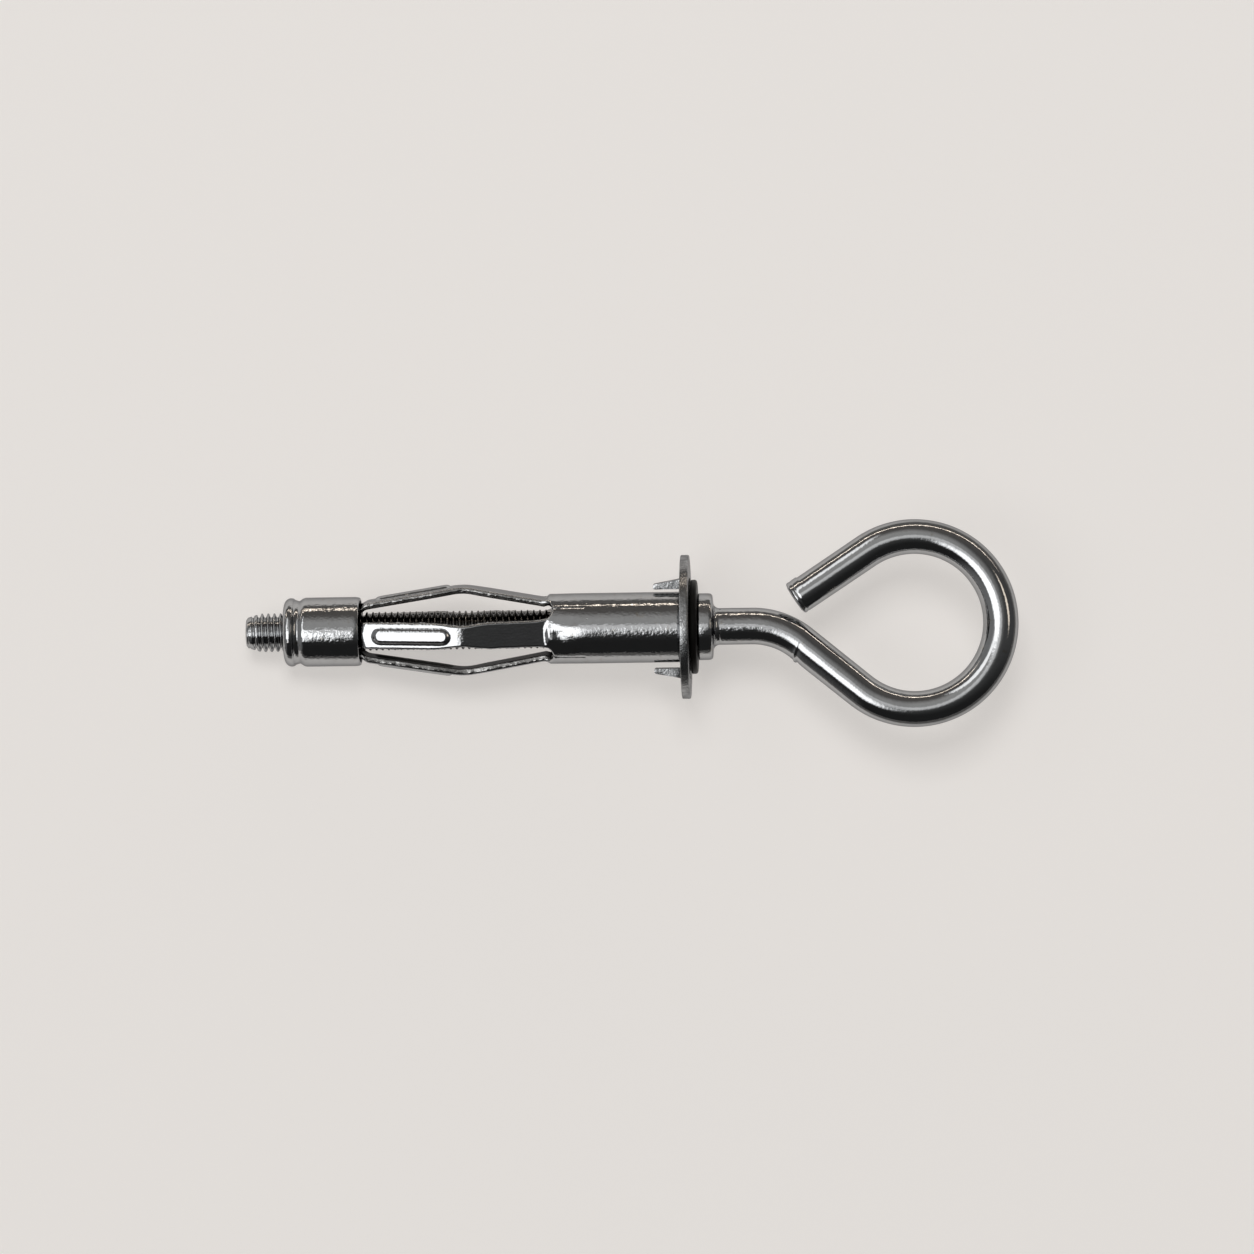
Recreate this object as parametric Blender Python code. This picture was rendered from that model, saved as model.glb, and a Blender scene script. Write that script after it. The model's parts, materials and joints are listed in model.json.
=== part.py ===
"""A steel eye anchor for hollow walls: an eye bolt of bent wire in a slotted sleeve that folds out.

The anchor is modelled straight along X, with the wall face of its flange at x = 0 and the eye
at +X. An empty then lays it down as it rests on a table: on the rim of the flange and on the
bead of the end ferrule. The eye lies flat, so +Z looks through it.
"""

import math

import bmesh
import bpy
from mathutils import Matrix, Vector

MM = 0.001

# Clearances
SEAT_GAP = 0.10 * MM  # between faces that press on each other
SLIP_GAP = 0.15 * MM  # between round pieces pushed one into the other
THREAD_GAP = 0.10 * MM  # between the bolt's thread and what it runs through

# Facets
TURNED_SIDES = 48  # a flat of the rim and of the bead faces the table
WIRE_SIDES = 24
DEGREES_PER_FACET = 6.0  # along the bends of the wire
LEG_COLUMNS = 8  # across a leg
SLOT_COLUMNS = 3  # across half of a slot's round end
ROOT_ROWS = 6  # along a leg's root
RIB_SIDE_STEPS = 3  # along a rib
CLAW_BEND_STEPS = 5

# Eye bolt
THREAD_RADIUS = 2.50 * MM
THREAD_END = 10.0 * MM  # from the wall face back to the last turn
TIP_STANDOUT = 4.95 * MM  # thread beyond the end ferrule
TIP_CHAMFER = 0.55 * MM
WIRE_RADIUS = 2.37 * MM
WIRE_END_RADIUS = 2.20 * MM  # bending has drawn the wire thinner towards its free end
COLLAR_RADIUS = 4.32 * MM
COLLAR_THICKNESS = 1.95 * MM
COLLAR_ROUND = 0.55 * MM
COLLAR_FILLET = 0.35 * MM
STRAIGHT_SHANK = 4.90 * MM  # from the collar to the first bend
SHANK_BEND_RADIUS = 10.0 * MM
SHANK_BEND = math.radians(39.3)
LIMB_LENGTH = 9.80 * MM
EYE_BEND_RADIUS = 11.10 * MM
EYE_BEND = math.radians(252.6)
FREE_LIMB_LENGTH = 11.0 * MM
END_NIP_LENGTH = 0.60 * MM  # the cutter nipped the free end this far back
END_NIP = 0.12 * MM
END_CHAMFER = 0.13 * MM

# Sleeve: one piece of rolled sheet, a tube that runs out into four legs
LEGS = 4
SLEEVE_SHEET = 0.85 * MM
TUBE_ROOM = 1.20 * MM  # between the thread and the tube's bore
TAIL_ROOM = 0.50 * MM  # between the thread and the legs where the ferrule holds them
TUBE_LENGTH = 16.5 * MM  # from the wall face to the ends of the slots
ROOT_TO_KNEE = 11.6 * MM
KNEE_TO_FERRULE = 13.4 * MM
LEG_WIDTH = 3.50 * MM
WAIST_CUT = 0.36 * MM  # each edge of a leg draws in this far at the knee
WAIST_LENGTH = 3.80 * MM
ROOT_DROP = 0.68 * MM  # the flat leg starts this far below the tube's surface
ROOT_BEND_LENGTH = 1.60 * MM
ROOT_BLEND = 0.50 * MM  # of tube past the slots' ends, before its plain stretch
KNEE_RISE = 1.32 * MM
KNEE_ROUND = 1.20 * MM
FOOT_DROP = 0.10 * MM  # the flat leg ends this far below its rounded tail
TUCK_LENGTH = 1.10 * MM
RIB_LENGTH = 10.1 * MM
RIB_WIDTH = 2.15 * MM
RIB_HEIGHT = 0.34 * MM
RIB_FROM_KNEE = 1.75 * MM
RIB_SECTION = ((1.0, 0.0), (0.90, 0.30), (0.72, 0.88), (0.60, 1.0))  # shares of half width, height
SLEEVE_TURN = math.radians(9.0)  # the anchor has turned this far round the bolt

# Riveted neck of the sleeve, in the flange
NECK_DROP = 0.45 * MM
NECK_FLARE = 0.35 * MM
NECK_SINK = 0.15 * MM  # below the flange's outer face

# Flange
FLANGE_RADIUS = 9.30 * MM
FLANGE_THICKNESS = 1.10 * MM
FLANGE_EDGE = 0.13 * MM  # its rim is broken this far on both sides
FLANGE_DISH = 0.10 * MM  # the tube's shoulder has dished the sheet this deep round its hole
CLAW_LENGTH = 3.60 * MM
CLAW_ROOT_WIDTH = 1.50 * MM
CLAW_TIP_WIDTH = 0.70 * MM
CLAW_BEND_RADIUS = 0.35 * MM
CLAW_WEB = 0.40 * MM  # sheet left between the sleeve's hole and a claw
CLAW_STEP_OUT = 0.35 * MM  # each claw was pressed this much further out than the one before
CLAW_THINNING = 0.05 * MM  # the press leaves a claw a little thinner than the sheet
CLAWS = 2
SHEAR_GAP = 0.10 * MM

# Sealing washer
WASHER_RADIUS = 6.10 * MM
WASHER_THICKNESS = 0.90 * MM
WASHER_ROUND = 0.30 * MM

# End ferrule and the nut that it holds
FERRULE_LENGTH = 9.80 * MM
FERRULE_WALL = 0.50 * MM
FERRULE_ROUND = 0.15 * MM
FERRULE_END_WALL = 0.60 * MM
BEAD_ROUND = 0.85 * MM
BEAD_DROP = 0.05 * MM
BEAD_WRAP = 120.0  # degrees of its round, from the closed end's face
GROOVE_FROM_END = 1.95 * MM
GROOVE_DEPTH = 0.45 * MM
GROOVE_FLOOR = 0.12 * MM
GROOVE_RAMP = 0.55 * MM  # on each side of the groove's floor
NUT_LENGTH = 4.00 * MM
NUT_CHAMFER = 0.25 * MM

# Radii that follow
TUBE_RADIUS = THREAD_RADIUS + TUBE_ROOM + SLEEVE_SHEET
TAIL_RADIUS = THREAD_RADIUS + TAIL_ROOM + SLEEVE_SHEET
FERRULE_BORE = TAIL_RADIUS + SLIP_GAP
FERRULE_RADIUS = FERRULE_BORE + FERRULE_WALL
BEAD_RADIUS = FERRULE_RADIUS - BEAD_DROP
NUT_RADIUS = FERRULE_BORE - SLIP_GAP
THREAD_BORE = THREAD_RADIUS + THREAD_GAP
NECK_RADIUS = TUBE_RADIUS - NECK_DROP
FLANGE_HOLE = NECK_RADIUS + SLIP_GAP
BEARING_RADIUS = TUBE_RADIUS + SLIP_GAP  # outside it the flange bears on the wall
CLAW_INNER_RADIUS = FLANGE_HOLE + NECK_FLARE + CLAW_WEB
CLAW_MIDDLE_RADIUS = CLAW_BEND_RADIUS + FLANGE_THICKNESS / 2.0  # of a claw's bend
CLAW_FLAT_LENGTH = CLAW_MIDDLE_RADIUS * math.pi / 2.0 + CLAW_LENGTH - CLAW_BEND_RADIUS

# Sizes of the slots between the legs that follow
HALF_PITCH = math.pi * TUBE_RADIUS / LEGS  # round the tube, from a leg's middle to a slot's
SLOT_RADIUS = HALF_PITCH - LEG_WIDTH / 2.0

# Places along X that follow
SLOT_START_X = -TUBE_LENGTH - SLOT_RADIUS
ROOT_END_X = -TUBE_LENGTH + ROOT_BLEND
KNEE_X = -TUBE_LENGTH - ROOT_TO_KNEE
FERRULE_MOUTH_X = KNEE_X - KNEE_TO_FERRULE
FERRULE_END_X = FERRULE_MOUTH_X - FERRULE_LENGTH
NUT_END_X = FERRULE_END_X + FERRULE_END_WALL + SEAT_GAP
LEG_END_X = NUT_END_X + NUT_LENGTH + SEAT_GAP
BEAD_X = FERRULE_END_X + BEAD_ROUND
GROOVE_X = FERRULE_END_X + GROOVE_FROM_END
TIP_X = FERRULE_END_X - TIP_STANDOUT
WASHER_X = FLANGE_THICKNESS + SEAT_GAP
COLLAR_X = WASHER_X + WASHER_THICKNESS + SEAT_GAP
SHANK_END_X = COLLAR_X + COLLAR_THICKNESS + STRAIGHT_SHANK


def mix(a, b, t):
    return a + (b - a) * t


def smooth(t):
    """Rises from 0 to 1 with no corner at either end."""
    t = min(max(t, 0.0), 1.0)
    return t * t * (3.0 - 2.0 * t)


def spaced(start, end, steps):
    return [mix(start, end, i / steps) for i in range(steps + 1)]


def clear_scene():
    for item in list(bpy.data.objects):
        bpy.data.objects.remove(item, do_unlink=True)


def make_material(name, colour, roughness, metallic):
    material = bpy.data.materials.new(name)
    material.use_nodes = True
    shader = material.node_tree.nodes["Principled BSDF"]
    shader.inputs["Base Color"].default_value = (*colour, 1.0)
    shader.inputs["Roughness"].default_value = roughness
    shader.inputs["Metallic"].default_value = metallic
    material.diffuse_color = (*colour, 1.0)
    return material


def object_from(bm, name, material, sharp_angle=30.0):
    """Turns a bmesh into a named object, shaded smooth up to its sharp edges."""
    bmesh.ops.recalc_face_normals(bm, faces=bm.faces)
    mesh = bpy.data.meshes.new(name)
    bm.to_mesh(mesh)
    bm.free()
    if material:
        mesh.materials.append(material)
    mesh.shade_smooth()
    mesh.set_sharp_from_angle(angle=math.radians(sharp_angle))
    item = bpy.data.objects.new(name, mesh)
    bpy.context.scene.collection.objects.link(item)
    return item


def arc(centre_x, centre_r, radius, start, end, steps=4):
    """Points (x, r) of an arc, from start to end degrees, where 0 is +X and 90 is outwards."""
    angles = [math.radians(angle) for angle in spaced(start, end, steps)]
    return [(centre_x + radius * math.cos(a), centre_r + radius * math.sin(a)) for a in angles]


def turned(name, outline, material):
    """A ring turned about the X axis from a closed outline of (x, radius) points."""
    bm = bmesh.new()
    half_side = Matrix.Rotation(math.pi / TURNED_SIDES, 3, "X")
    verts = [bm.verts.new(half_side @ Vector((x, 0.0, r))) for x, r in outline]
    edges = [bm.edges.new(pair) for pair in zip(verts, verts[1:] + verts[:1])]
    bmesh.ops.spin(
        bm,
        geom=verts + edges,
        axis=(1.0, 0.0, 0.0),
        cent=(0.0, 0.0, 0.0),
        steps=TURNED_SIDES,
        angle=2.0 * math.pi,
    )
    bmesh.ops.remove_doubles(bm, verts=bm.verts, dist=0.001 * MM)
    return object_from(bm, name, material)


# Eye bolt


def threaded_stations():
    """Stations (x, y, heading, radius) from the tip of the bolt to the start of the first bend."""
    collar_end_x = COLLAR_X + COLLAR_THICKNESS
    shoulder = arc(collar_end_x - COLLAR_ROUND, COLLAR_RADIUS - COLLAR_ROUND, COLLAR_ROUND, 90, 0)
    fillet = arc(
        collar_end_x + COLLAR_FILLET, WIRE_RADIUS + COLLAR_FILLET, COLLAR_FILLET, 180, 270, steps=3
    )
    outline = [
        (TIP_X, THREAD_RADIUS - TIP_CHAMFER),
        (TIP_X + TIP_CHAMFER, THREAD_RADIUS),
        (-THREAD_END - (THREAD_RADIUS - WIRE_RADIUS), THREAD_RADIUS),
        (-THREAD_END, WIRE_RADIUS),
        (COLLAR_X, WIRE_RADIUS),
        (COLLAR_X, COLLAR_RADIUS),
        *shoulder,
        *fillet,
    ]
    return [(x, 0.0, 0.0, radius) for x, radius in outline]


def bent_stations():
    """Stations of the wire from the first bend round the eye to the free end."""
    runs = (
        (SHANK_BEND_RADIUS * SHANK_BEND, -SHANK_BEND),
        (LIMB_LENGTH, 0.0),
        (EYE_BEND_RADIUS * EYE_BEND, EYE_BEND),
        (FREE_LIMB_LENGTH - END_NIP_LENGTH, 0.0),
    )
    whole = sum(length for length, _ in runs)
    travelled = 0.0
    x, y, heading = SHANK_END_X, 0.0, 0.0
    stations = [(x, y, heading, WIRE_RADIUS)]
    for length, turn in runs:
        steps = max(1, round(math.degrees(abs(turn)) / DEGREES_PER_FACET))
        step_turn = turn / steps
        chord = length / steps
        if turn:
            chord = 2.0 * length / abs(turn) * math.sin(abs(step_turn) / 2.0)
        for _ in range(steps):
            middle = heading + step_turn / 2.0
            x += chord * math.cos(middle)
            y += chord * math.sin(middle)
            heading += step_turn
            travelled += length / steps
            radius = mix(WIRE_RADIUS, WIRE_END_RADIUS, travelled / whole)
            stations.append((x, y, heading, radius))
    nipped = (
        (END_NIP_LENGTH - END_CHAMFER, WIRE_END_RADIUS - END_NIP),
        (END_NIP_LENGTH, WIRE_END_RADIUS - END_NIP - END_CHAMFER),
    )
    for ahead, radius in nipped:
        end_x = x + ahead * math.cos(heading)
        end_y = y + ahead * math.sin(heading)
        stations.append((end_x, end_y, heading, radius))
    return stations


def make_eye_bolt(material):
    """A round section carried along the wire's centre line, with its radius given at each station."""
    bm = bmesh.new()
    stations = threaded_stations() + bent_stations()
    rings = []
    for x, y, heading, radius in stations:
        side = Vector((-math.sin(heading), math.cos(heading), 0.0))
        ring = []
        for k in range(WIRE_SIDES):
            angle = 2.0 * math.pi * k / WIRE_SIDES
            offset = math.cos(angle) * side + math.sin(angle) * Vector((0.0, 0.0, 1.0))
            ring.append(bm.verts.new(Vector((x, y, 0.0)) + radius * offset))
        rings.append(ring)
    for ring, following in zip(rings, rings[1:]):
        for k in range(WIRE_SIDES):
            after = (k + 1) % WIRE_SIDES
            bm.faces.new((ring[k], ring[after], following[after], following[k]))
    bm.faces.new(rings[0])
    bm.faces.new(rings[-1])
    return object_from(bm, "eye_bolt", material)


# Sleeve


class Shell:
    """A sheet given by pairs of outer and inner points, closed along its free edges."""

    def __init__(self):
        self.bm = bmesh.new()
        self.pairs = {}
        self.edge_uses = {}

    def point(self, outer, inner):
        key = tuple(round(value / MM, 4) for value in (*outer, *inner))
        if key not in self.pairs:
            self.pairs[key] = (self.bm.verts.new(outer), self.bm.verts.new(inner))
        return key

    def face(self, keys):
        corners = [self.pairs[key] for key in keys]
        self.bm.faces.new([outer for outer, _ in corners])
        self.bm.faces.new([inner for _, inner in reversed(corners)])
        for a, b in zip(keys, keys[1:] + keys[:1]):
            uses = self.edge_uses.setdefault(frozenset((a, b)), [])
            uses.append((a, b))

    def grid(self, rows):
        for row, following in zip(rows, rows[1:]):
            for j in range(len(row) - 1):
                self.face([row[j], row[j + 1], following[j + 1], following[j]])

    def close_edges(self):
        for uses in self.edge_uses.values():
            if len(uses) == 1:
                (a, b) = uses[0]
                outer_a, inner_a = self.pairs[a]
                outer_b, inner_b = self.pairs[b]
                self.bm.faces.new((outer_b, outer_a, inner_a, inner_b))


def leg_half_width(x):
    waist = smooth(1.0 - abs(x - KNEE_X) / WAIST_LENGTH)
    return LEG_WIDTH / 2.0 - WAIST_CUT * waist


def flat_leg_height(x):
    """Height of the leg's outer face over the axis, two straight runs and a rounded knee."""
    foot = TAIL_RADIUS - FOOT_DROP
    knee = TUBE_RADIUS + KNEE_RISE
    root = TUBE_RADIUS - ROOT_DROP
    rise = (knee - foot) / (KNEE_X - FERRULE_MOUTH_X)
    fall = (root - knee) / (SLOT_START_X - KNEE_X)
    u = x - KNEE_X
    if abs(u) < KNEE_ROUND:
        rounding = (rise - fall) * (u * u + KNEE_ROUND * KNEE_ROUND) / (4.0 * KNEE_ROUND)
        return knee + 0.5 * (rise + fall) * u - rounding
    return knee + (rise if u < 0.0 else fall) * u


def leg_point(shell, leg, x, across, lift=0.0):
    """A point of the sleeve at x, and at an arc length across from the middle of a leg.

    A leg is round in the ferrule and where it leaves the tube, and flat between them. Beside
    the legs' roots the tube gives way a little and fades back to round at the slots' ends.
    """
    if x < KNEE_X:
        flatness = smooth((x - FERRULE_MOUTH_X) / TUCK_LENGTH)
        round_radius = TAIL_RADIUS
    else:
        flatness = smooth((SLOT_START_X + ROOT_BEND_LENGTH - x) / ROOT_BEND_LENGTH)
        round_radius = TUBE_RADIUS
        beside = max(0.0, abs(across) - leg_half_width(x)) / SLOT_RADIUS
        flatness *= 1.0 - smooth(beside)
    height = mix(round_radius, flat_leg_height(x), flatness)
    curvature = (1.0 - flatness) / round_radius
    angle = across * curvature
    if curvature * HALF_PITCH < 1e-4:
        sideways, drop = across, 0.0
    else:
        sideways = math.sin(angle) / curvature
        drop = (1.0 - math.cos(angle)) / curvature
    outer = Vector((x, -sideways, height - drop + lift))
    inner = outer - SLEEVE_SHEET * Vector((0.0, -math.sin(angle), math.cos(angle)))
    turn = Matrix.Rotation(SLEEVE_TURN + 2.0 * math.pi * leg / LEGS, 3, "X")
    return shell.point(turn @ outer, turn @ inner)


def leg_row(shell, leg, x):
    half_width = leg_half_width(x)
    return [
        leg_point(shell, leg, x, half_width * (2.0 * j / LEG_COLUMNS - 1.0))
        for j in range(LEG_COLUMNS + 1)
    ]


def loop_points(left_x, right_x, half_width, bulge):
    """Points (x, across) round a panel, or round a rib whose two ends bulge out to half rounds."""
    loop = []
    for start_x, end_x, side in ((left_x, right_x, -1.0), (right_x, left_x, 1.0)):
        loop += [(x, side * half_width(x)) for x in spaced(start_x, end_x, RIB_SIDE_STEPS)[:-1]]
        for t in spaced(-1.0, 1.0, LEG_COLUMNS)[:-1]:
            out = bulge * math.cos(t * math.pi / 2.0)
            across = bulge * math.sin(t * math.pi / 2.0) if bulge else t * half_width(end_x)
            loop.append((end_x - side * out, -side * across))
    return loop


def add_ribbed_panel(shell, leg, left_x, right_x):
    """The stretch of a leg that holds its pressed rib, as loops from the edge inwards."""
    radius = RIB_WIDTH / 2.0
    rib_right_x = KNEE_X - RIB_FROM_KNEE - radius
    rib_left_x = KNEE_X - RIB_FROM_KNEE - RIB_LENGTH + radius
    edge = loop_points(left_x, right_x, leg_half_width, 0.0)
    loops = [[leg_point(shell, leg, x, across) for x, across in edge]]
    for share, rise in RIB_SECTION:
        reach = share * radius
        loop = loop_points(rib_left_x, rib_right_x, lambda x, reach=reach: reach, reach)
        lift = rise * RIB_HEIGHT
        loops.append([leg_point(shell, leg, x, across, lift) for x, across in loop])
    for outside, inside in zip(loops, loops[1:]):
        for k in range(len(outside)):
            after = (k + 1) % len(outside)
            shell.face([outside[k], outside[after], inside[after], inside[k]])
    shell.face(loops[-1])


def add_leg(shell, leg):
    """From the slots' start to the knee, over the rib, into the ferrule."""
    panel_right_x = KNEE_X - KNEE_ROUND
    panel_left_x = FERRULE_MOUTH_X + TUCK_LENGTH
    root_to_knee = [
        SLOT_START_X,
        *spaced(SLOT_START_X, KNEE_X + WAIST_LENGTH, 2)[1:],
        *spaced(KNEE_X + WAIST_LENGTH, KNEE_X + KNEE_ROUND, 3)[1:],
        *spaced(KNEE_X + KNEE_ROUND, KNEE_X - KNEE_ROUND, 4)[1:],
    ]
    shell.grid([leg_row(shell, leg, x) for x in root_to_knee])
    add_ribbed_panel(shell, leg, panel_left_x, panel_right_x)
    tail = spaced(panel_left_x, FERRULE_MOUTH_X, 4) + [LEG_END_X]
    shell.grid([leg_row(shell, leg, x) for x in tail])


def quarter_columns():
    """Arc lengths from the middle of one slot, over a leg, to the middle of the next slot."""
    edge = LEG_WIDTH / 2.0
    slot = [
        HALF_PITCH - SLOT_RADIUS * math.cos(math.pi / 2.0 * (1.0 - i / SLOT_COLUMNS))
        for i in range(SLOT_COLUMNS + 1)
    ]
    slot = sorted(slot)
    leg = spaced(-edge, edge, LEG_COLUMNS)
    return [-across for across in reversed(slot[1:])] + leg + slot[1:]


def slot_end_x(across):
    """Where the sheet starts: a round slot end beside each leg, and no edge on the leg itself."""
    beside = HALF_PITCH - abs(across)
    if beside >= SLOT_RADIUS:
        return SLOT_START_X
    return SLOT_START_X + math.sqrt(SLOT_RADIUS**2 - beside**2)


def ring_row(shell, outer, inner):
    """A full ring of the tube from an outer and an inner (x, radius)."""
    keys = []
    for leg in range(LEGS):
        for across in quarter_columns()[:-1]:
            angle = SLEEVE_TURN + 2.0 * math.pi * leg / LEGS + across / TUBE_RADIUS
            turn = Matrix.Rotation(angle, 3, "X")
            outer_point = turn @ Vector((outer[0], 0.0, outer[1]))
            inner_point = turn @ Vector((inner[0], 0.0, inner[1]))
            keys.append(shell.point(outer_point, inner_point))
    return keys + keys[:1]


def add_root(shell, leg):
    """Where the tube's end meets one leg and half of the slot on each side of it."""
    columns = quarter_columns()
    rows = []
    for i in range(ROOT_ROWS + 1):
        t = i / ROOT_ROWS
        rows.append(
            [
                leg_point(shell, leg, mix(slot_end_x(across), ROOT_END_X, t), across)
                for across in columns
            ]
        )
    shell.grid(rows)


def make_sleeve(material):
    shell = Shell()
    for leg in range(LEGS):
        add_leg(shell, leg)
        add_root(shell, leg)
    bore = TUBE_RADIUS - SLEEVE_SHEET
    neck_end_x = FLANGE_THICKNESS - NECK_SINK
    shoulder_x = -SEAT_GAP
    flare_x = neck_end_x - NECK_FLARE
    rows = [
        ((ROOT_END_X, TUBE_RADIUS), (ROOT_END_X, bore)),
        ((ROOT_END_X / 2.0, TUBE_RADIUS), (ROOT_END_X / 2.0, bore)),
        ((shoulder_x, TUBE_RADIUS), (shoulder_x - NECK_DROP, bore)),
        ((shoulder_x, NECK_RADIUS), (shoulder_x, bore)),
        ((flare_x, NECK_RADIUS), (flare_x, bore)),
        ((neck_end_x, NECK_RADIUS + NECK_FLARE), (neck_end_x, bore + NECK_FLARE)),
    ]
    shell.grid([ring_row(shell, outer, inner) for outer, inner in rows])
    shell.close_edges()
    return object_from(shell.bm, "anchor_sleeve", material)


# Flange


def prism(name, corners, depth_from, depth_to):
    """A cutter from (y, z) corners, run along X."""
    bm = bmesh.new()
    ends = [[bm.verts.new((x, y, z)) for y, z in corners] for x in (depth_from, depth_to)]
    for k in range(len(corners)):
        after = (k + 1) % len(corners)
        bm.faces.new((ends[0][k], ends[0][after], ends[1][after], ends[1][k]))
    bm.faces.new(ends[0])
    bm.faces.new(ends[1])
    return as_guide(object_from(bm, name, None))


def as_guide(item):
    item.hide_render = True
    item.display_type = "WIRE"
    return item


def claw_stations():
    """Stations (z, x, bending angle, width) from inside the sheet, round the bend, to the tip."""
    middle = FLANGE_THICKNESS / 2.0
    stations = [(CLAW_MIDDLE_RADIUS + middle, middle, 0.0, CLAW_ROOT_WIDTH)]
    for angle in spaced(0.0, math.pi / 2.0, CLAW_BEND_STEPS):
        share = CLAW_MIDDLE_RADIUS * angle / CLAW_FLAT_LENGTH
        z = CLAW_MIDDLE_RADIUS - CLAW_MIDDLE_RADIUS * math.sin(angle)
        x = -CLAW_BEND_RADIUS + CLAW_MIDDLE_RADIUS * math.cos(angle)
        stations.append((z, x, angle, mix(CLAW_ROOT_WIDTH, CLAW_TIP_WIDTH, share)))
    stations.append((0.0, -CLAW_LENGTH, math.pi / 2.0, CLAW_TIP_WIDTH))
    return stations


def claw_inner_radius(number):
    return CLAW_INNER_RADIUS + number * CLAW_STEP_OUT


def make_claw(number, turn, material):
    """One claw, pressed out of the sheet along a radial bend and pointing at the wall."""
    bm = bmesh.new()
    inner = claw_inner_radius(number)
    half = (FLANGE_THICKNESS - CLAW_THINNING) / 2.0
    rings = []
    for z, x, angle, width in claw_stations():
        normal = Vector((math.cos(angle), 0.0, math.sin(angle)))
        ring = []
        for y, side in ((0.0, 1.0), (width, 1.0), (width, -1.0), (0.0, -1.0)):
            point = Vector((x, inner + y, z)) + side * half * normal
            ring.append(bm.verts.new(turn @ point))
        rings.append(ring)
    for ring, following in zip(rings, rings[1:]):
        for k in range(len(ring)):
            after = (k + 1) % len(ring)
            bm.faces.new((ring[k], ring[after], following[after], following[k]))
    bm.faces.new(rings[0])
    bm.faces.new(rings[-1])
    return as_guide(object_from(bm, f"claw_{number + 1}", material))


def make_claw_window(number, turn):
    """The hole that a claw leaves in the sheet, a hair wider than the claw."""
    inner = claw_inner_radius(number)
    tip_z = CLAW_MIDDLE_RADIUS - CLAW_FLAT_LENGTH
    corners = (
        (inner - SHEAR_GAP, CLAW_MIDDLE_RADIUS),
        (inner + CLAW_ROOT_WIDTH + SHEAR_GAP, CLAW_MIDDLE_RADIUS),
        (inner + CLAW_TIP_WIDTH + SHEAR_GAP, tip_z),
        (inner - SHEAR_GAP, tip_z),
    )
    placed = [turn @ Vector((0.0, y, z)) for y, z in corners]
    outline = [(point.y, point.z) for point in placed]
    return prism(f"claw_window_{number + 1}", outline, -FLANGE_THICKNESS, 2.0 * FLANGE_THICKNESS)


def add_boolean(item, other, operation):
    """Joins or cuts an item by a guide, which then moves with the item."""
    other.parent = item
    modifier = item.modifiers.new(f"{operation.lower()} {other.name}", "BOOLEAN")
    modifier.operation = operation
    modifier.object = other
    modifier.solver = "EXACT"


def make_flange(material):
    """A flat disc, countersunk for the sleeve's riveted neck, with two claws for the wall."""
    flare_x = FLANGE_THICKNESS - NECK_SINK - NECK_FLARE
    outline = [
        (FLANGE_DISH, FLANGE_HOLE),
        (0.0, BEARING_RADIUS),
        (0.0, FLANGE_RADIUS - FLANGE_EDGE),
        (FLANGE_EDGE, FLANGE_RADIUS),
        (FLANGE_THICKNESS - FLANGE_EDGE, FLANGE_RADIUS),
        (FLANGE_THICKNESS, FLANGE_RADIUS - FLANGE_EDGE),
        (FLANGE_THICKNESS, FLANGE_HOLE + NECK_FLARE),
        (FLANGE_THICKNESS - NECK_SINK, FLANGE_HOLE + NECK_FLARE),
        (flare_x, FLANGE_HOLE),
    ]
    flange = turned("flange_plate", outline, material)
    for number in range(CLAWS):
        turn = Matrix.Rotation(SLEEVE_TURN + 2.0 * math.pi * number / CLAWS, 3, "X")
        add_boolean(flange, make_claw_window(number, turn), "DIFFERENCE")
        add_boolean(flange, make_claw(number, turn, material), "UNION")
    return flange


# Washer, ferrule and nut


def make_washer(material):
    bore = WIRE_RADIUS + SLIP_GAP
    start_x = WASHER_X
    end_x = WASHER_X + WASHER_THICKNESS
    outline = [
        (start_x, bore),
        *arc(start_x + WASHER_ROUND, WASHER_RADIUS - WASHER_ROUND, WASHER_ROUND, 180, 90, steps=3),
        *arc(end_x - WASHER_ROUND, WASHER_RADIUS - WASHER_ROUND, WASHER_ROUND, 90, 0, steps=3),
        (end_x, bore),
    ]
    return turned("sealing_washer", outline, material)


def make_ferrule(material):
    """A drawn cap over the ends of the legs, beaded at its closed end and crimped on the nut."""
    bead_centre_r = BEAD_RADIUS - BEAD_ROUND
    floor_start_x = GROOVE_X - GROOVE_FLOOR / 2.0
    floor_end_x = GROOVE_X + GROOVE_FLOOR / 2.0
    shoulder = []
    for t in spaced(0.0, 1.0, 3):
        rise = math.sin(t * math.pi / 2.0)
        shoulder.append((floor_end_x + t * GROOVE_RAMP, FERRULE_RADIUS - (1.0 - rise) * GROOVE_DEPTH))
    outline = [
        (FERRULE_END_X, THREAD_BORE + SLIP_GAP),
        *arc(BEAD_X, bead_centre_r, BEAD_ROUND, 180, 180 - BEAD_WRAP, steps=8),
        (floor_start_x, FERRULE_RADIUS - GROOVE_DEPTH),
        *shoulder,
        (FERRULE_MOUTH_X - FERRULE_ROUND, FERRULE_RADIUS),
        (FERRULE_MOUTH_X, FERRULE_RADIUS - FERRULE_ROUND),
        (FERRULE_MOUTH_X, FERRULE_BORE),
        (floor_end_x + GROOVE_RAMP, FERRULE_BORE),
        (floor_end_x, FERRULE_BORE - GROOVE_DEPTH),
        (floor_start_x, FERRULE_BORE - GROOVE_DEPTH),
        (floor_start_x - GROOVE_RAMP, FERRULE_BORE),
        (FERRULE_END_X + FERRULE_END_WALL, FERRULE_BORE),
        (FERRULE_END_X + FERRULE_END_WALL, THREAD_BORE + SLIP_GAP),
    ]
    return turned("end_ferrule", outline, material)


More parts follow.
